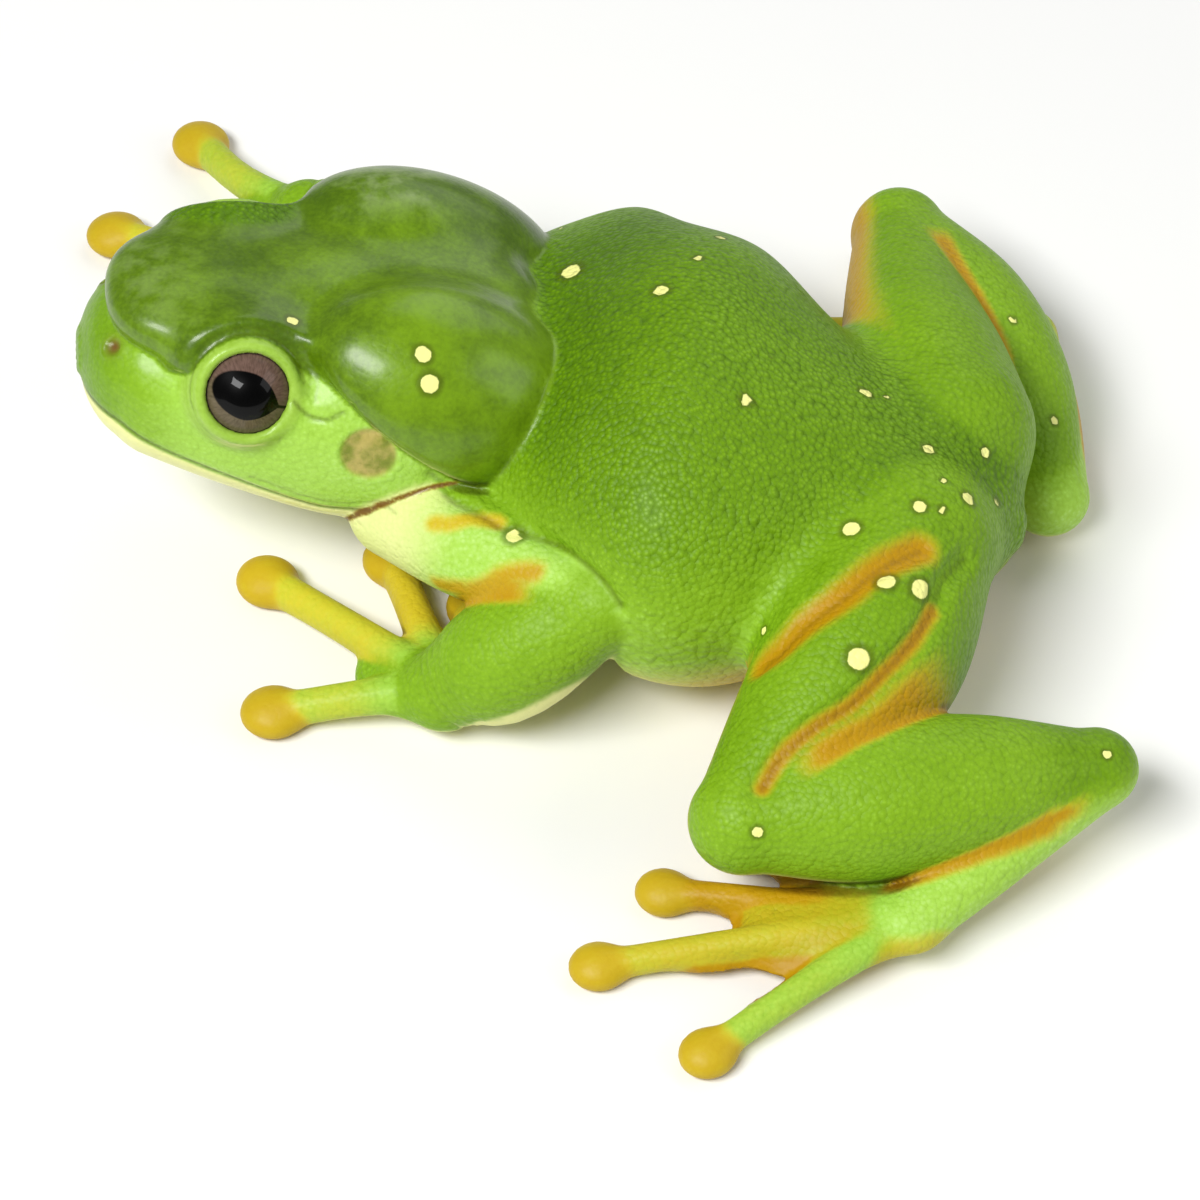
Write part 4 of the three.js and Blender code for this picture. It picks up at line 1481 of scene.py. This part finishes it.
class Tree:
    # A Geometry Nodes tree with named inputs.
    def __init__(self, name, inputs):
        self.group = bpy.data.node_groups.new(name, "GeometryNodeTree")
        self.group.interface.new_socket("Geometry", in_out="OUTPUT", socket_type="NodeSocketGeometry")
        self.identifiers = {}
        for label, kind in inputs.items():
            made = self.group.interface.new_socket(label, in_out="INPUT", socket_type="NodeSocket" + kind)
            self.identifiers[label] = made.identifier
        self.given = self.group.nodes.new("NodeGroupInput")

    def node(self, kind, settings=None, sockets=None, output=0):
        made = self.group.nodes.new(kind)
        for name, value in (settings or {}).items():
            setattr(made, name, value)
        for name, value in (sockets or {}).items():
            if isinstance(value, bpy.types.NodeSocket):
                self.group.links.new(value, made.inputs[name])
            else:
                made.inputs[name].default_value = value
        return made.outputs[output]

    def input(self, label):
        return self.given.outputs[label]

    def finish(self, geometry):
        end = self.group.nodes.new("NodeGroupOutput")
        self.group.links.new(geometry, end.inputs[0])


def eyeTree():
    # A ball whose front, along its own z, swells like a lens; it remembers where each point looks.
    tree = Tree("eyeBall", {
        "Radius": "Float", "Turns": "Int", "Rows": "Int", "Bulge": "Float", "Bulge Width": "Float",
        "Mirror": "Vector", "Place": "Vector", "Turn": "Rotation", "Finish": "Material",
    })
    ball = tree.node("GeometryNodeMeshUVSphere", {}, {
        "Segments": tree.input("Turns"), "Rings": tree.input("Rows"), "Radius": tree.input("Radius")})
    position = tree.node("GeometryNodeInputPosition")
    unit = tree.node("ShaderNodeVectorMath", {"operation": "NORMALIZE"}, {0: position})
    parts = tree.node("ShaderNodeSeparateXYZ", {}, {0: unit}, 2)
    swell = tree.node("ShaderNodeMapRange", {"interpolation_type": "SMOOTHERSTEP"}, {
        "Value": parts, "From Min": tree.input("Bulge Width"), "From Max": 1.0,
        "To Min": 0.0, "To Max": tree.input("Bulge")})
    offset = tree.node("ShaderNodeVectorMath", {"operation": "SCALE"}, {0: unit, "Scale": swell})
    shaped = tree.node("GeometryNodeSetPosition", {}, {"Geometry": ball, "Offset": offset})
    gaze = tree.node("ShaderNodeVectorMath", {"operation": "MULTIPLY"}, {0: unit, 1: tree.input("Mirror")})
    marked = tree.node("GeometryNodeStoreNamedAttribute", {"data_type": "FLOAT_VECTOR", "domain": "POINT"}, {
        "Geometry": shaped, "Name": "gaze", "Value": gaze})
    smooth = tree.node("GeometryNodeSetShadeSmooth", {}, {"Geometry": marked})
    placed = tree.node("GeometryNodeTransform", {}, {
        "Geometry": smooth, "Translation": tree.input("Place"), "Rotation": tree.input("Turn")})
    real = tree.node("GeometryNodeRealizeInstances", {}, {"Geometry": placed})
    tree.finish(tree.node("GeometryNodeSetMaterial", {}, {
        "Geometry": real, "Material": tree.input("Finish")}))
    return tree


eyeLook = {
    "pupil": paint(1, 1, 2),
    "iris": (paint(66, 52, 42), paint(128, 102, 92)),
    "irisLow": (paint(70, 62, 44), paint(118, 106, 84)),
    "rim": paint(18, 12, 10),
    "white": paint(150, 150, 110),
}


def eyeFinish():
    finish = Finish("frogEye", Roughness=0.4, Specular_IOR_Level=0.05, Coat_Weight=0.25,
                    Coat_Roughness=0.02)
    gaze = finish.node("Attribute", {"attribute_name": "gaze"}, output=1)
    along, rise, out = (finish.node("SeparateXYZ", {}, {0: gaze}, axis) for axis in range(3))
    tilt = math.radians(eyeBall["pupilTilt"])
    length, height = eyeBall["pupil"]
    back = along * math.cos(tilt) + rise * math.sin(tilt) + eyeBall["pupilShift"]
    up = rise * math.cos(tilt) - along * math.sin(tilt)
    across = (up / height).size()
    rounded = ((back / length) ** 2 + across ** 2) ** 0.5
    pointed = (back / length) ** 2 + across
    behind = finish.band(back, -0.1, 0.25)
    pupil = rounded + (pointed - rounded) * behind
    radius = (along ** 2 + rise ** 2) ** 0.5
    angle = finish.node("Math", {"operation": "ARCTAN2"}, {0: rise, 1: along})
    streaks = finish.node("TexNoise", {"noise_dimensions": "2D"}, {
        "Vector": finish.node("CombineXYZ", {}, {0: angle * 9, 1: radius * 5}), "Scale": 1.6, "Detail": 5.0})
    upper = finish.blend(*eyeLook["iris"], streaks)
    lower = finish.blend(*eyeLook["irisLow"], streaks)
    iris = finish.blend(lower, upper, finish.band(up, -0.15, 0.25))
    line = finish.band(up.size(), 0.05, 0.015) * finish.band(back, length * 0.8, length)
    dark = finish.band(radius, eyeBall["iris"] - 0.03, eyeBall["iris"] + 0.02).larger(line)
    colour = finish.blend(iris, eyeLook["rim"], dark)
    colour = finish.blend(colour, eyeLook["pupil"], finish.band(pupil, 1.03, 0.96))
    finish.feed("Base Color", finish.blend(eyeLook["white"], colour, finish.band(out, 0.0, 0.2)))
    return finish.material


eyeMaterial = eyeFinish()
ballTree = eyeTree()
for label, side in sides.items():
    centre = onHead(side, eyeShape["place"])
    gazeOut = headTurned @ Vector((0, side * math.cos(eyeAim), math.sin(eyeAim)))
    gazeBack = headTurned @ Vector((-side, 0, 0))
    gazeUp = headTurned @ Vector((0, -side * math.sin(eyeAim), math.cos(eyeAim)))
    turned = Matrix((gazeBack, gazeUp, gazeOut)).transposed()
    eye = plainMesh(f"{label}Eye", np.zeros((0, 3)), np.zeros((0, 3), int))
    maker = eye.modifiers.new("eyeBall", "NODES")
    maker.node_group = ballTree.group
    settings = {
        "Radius": eyeBall["radius"] * mm,
        "Turns": eyeBall["turns"],
        "Rows": eyeBall["rows"],
        "Bulge": eyeBall["bulge"] * mm,
        "Bulge Width": eyeBall["bulgeWidth"],
        "Mirror": (-side, 1, 1),
        "Place": tuple(Vector(centre) * mm + frogOrigin),
        "Turn": tuple(turned.to_euler()),
        "Finish": eyeMaterial,
    }
    for name, value in settings.items():
        maker[ballTree.identifiers[name]] = value
    evaluatedMesh(eye)
    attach(eye, "root")
    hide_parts(f"{label}_eye")
print("eyes: finished")

# Camera, floor and light.
view = {
    "azimuth": 16.9,  # degrees, round from straight along y
    "elevation": 48.0,
    "target": (20.0, -22.0, 15.0),
    "distance": 454.0,
    "width": 122.4,  # what it takes in, at the target
}
target = frogOrigin + Vector(view["target"]) * mm
azimuth, elevation = math.radians(view["azimuth"]), math.radians(view["elevation"])
back = Vector((math.sin(azimuth) * math.cos(elevation), -math.cos(azimuth) * math.cos(elevation),
               math.sin(elevation)))
camera = bpy.data.objects.new("camera", bpy.data.cameras.new("camera"))
camera.location = target + back * view["distance"] * mm
camera.rotation_mode = "QUATERNION"
camera.rotation_quaternion = back.to_track_quat("Z", "Y")
camera.data.sensor_width = 36
camera.data.lens = 36 * view["distance"] / view["width"]
camera.data.clip_start = 0.01
bpy.context.scene.collection.objects.link(camera)
bpy.context.scene.camera = camera

studio = {
    "floor": paint(246, 246, 244),
    "floorSize": 3.0,
    "world": 0.16,
    "lamps": {
        # each: where it stands, in metres from the target; its width and height; its power
        "key": ((-0.2, -0.4, 0.62), (0.48, 0.22), 6.3),
        "fill": ((0.75, 0.1, 0.42), (0.5, 0.5), 1.5),
        "back": ((0.1, 0.6, 0.5), (0.6, 0.6), 1.5),
    },
}
reach = studio["floorSize"]
corners = np.array([(-reach, -reach, 0), (reach, -reach, 0), (reach, reach, 0), (-reach, reach, 0)])
floor = plainMesh("floor", corners, np.array([(0, 1, 2, 3)]))
floorFinish = Finish("floor", Base_Color=studio["floor"], Roughness=0.9)
floor.data.materials.append(floorFinish.material)
for name, (place, size, power) in studio["lamps"].items():
    lampData = bpy.data.lights.new(name, "AREA")
    lampData.shape = "RECTANGLE"
    lampData.size, lampData.size_y = size
    lampData.energy = power
    lamp = bpy.data.objects.new(name, lampData)
    lamp.location = target + Vector(place)
    lamp.rotation_mode = "QUATERNION"
    lamp.rotation_quaternion = Vector(place).to_track_quat("Z", "Y")
    bpy.context.scene.collection.objects.link(lamp)
world = bpy.data.worlds.new("world")
bpy.context.scene.world = world
world.use_nodes = True
background = world.node_tree.nodes["Background"]
background.inputs["Color"].default_value = (1, 1, 1, 1)
background.inputs["Strength"].default_value = studio["world"]
bpy.context.scene.view_settings.view_transform = "Standard"
print("stage: finished")
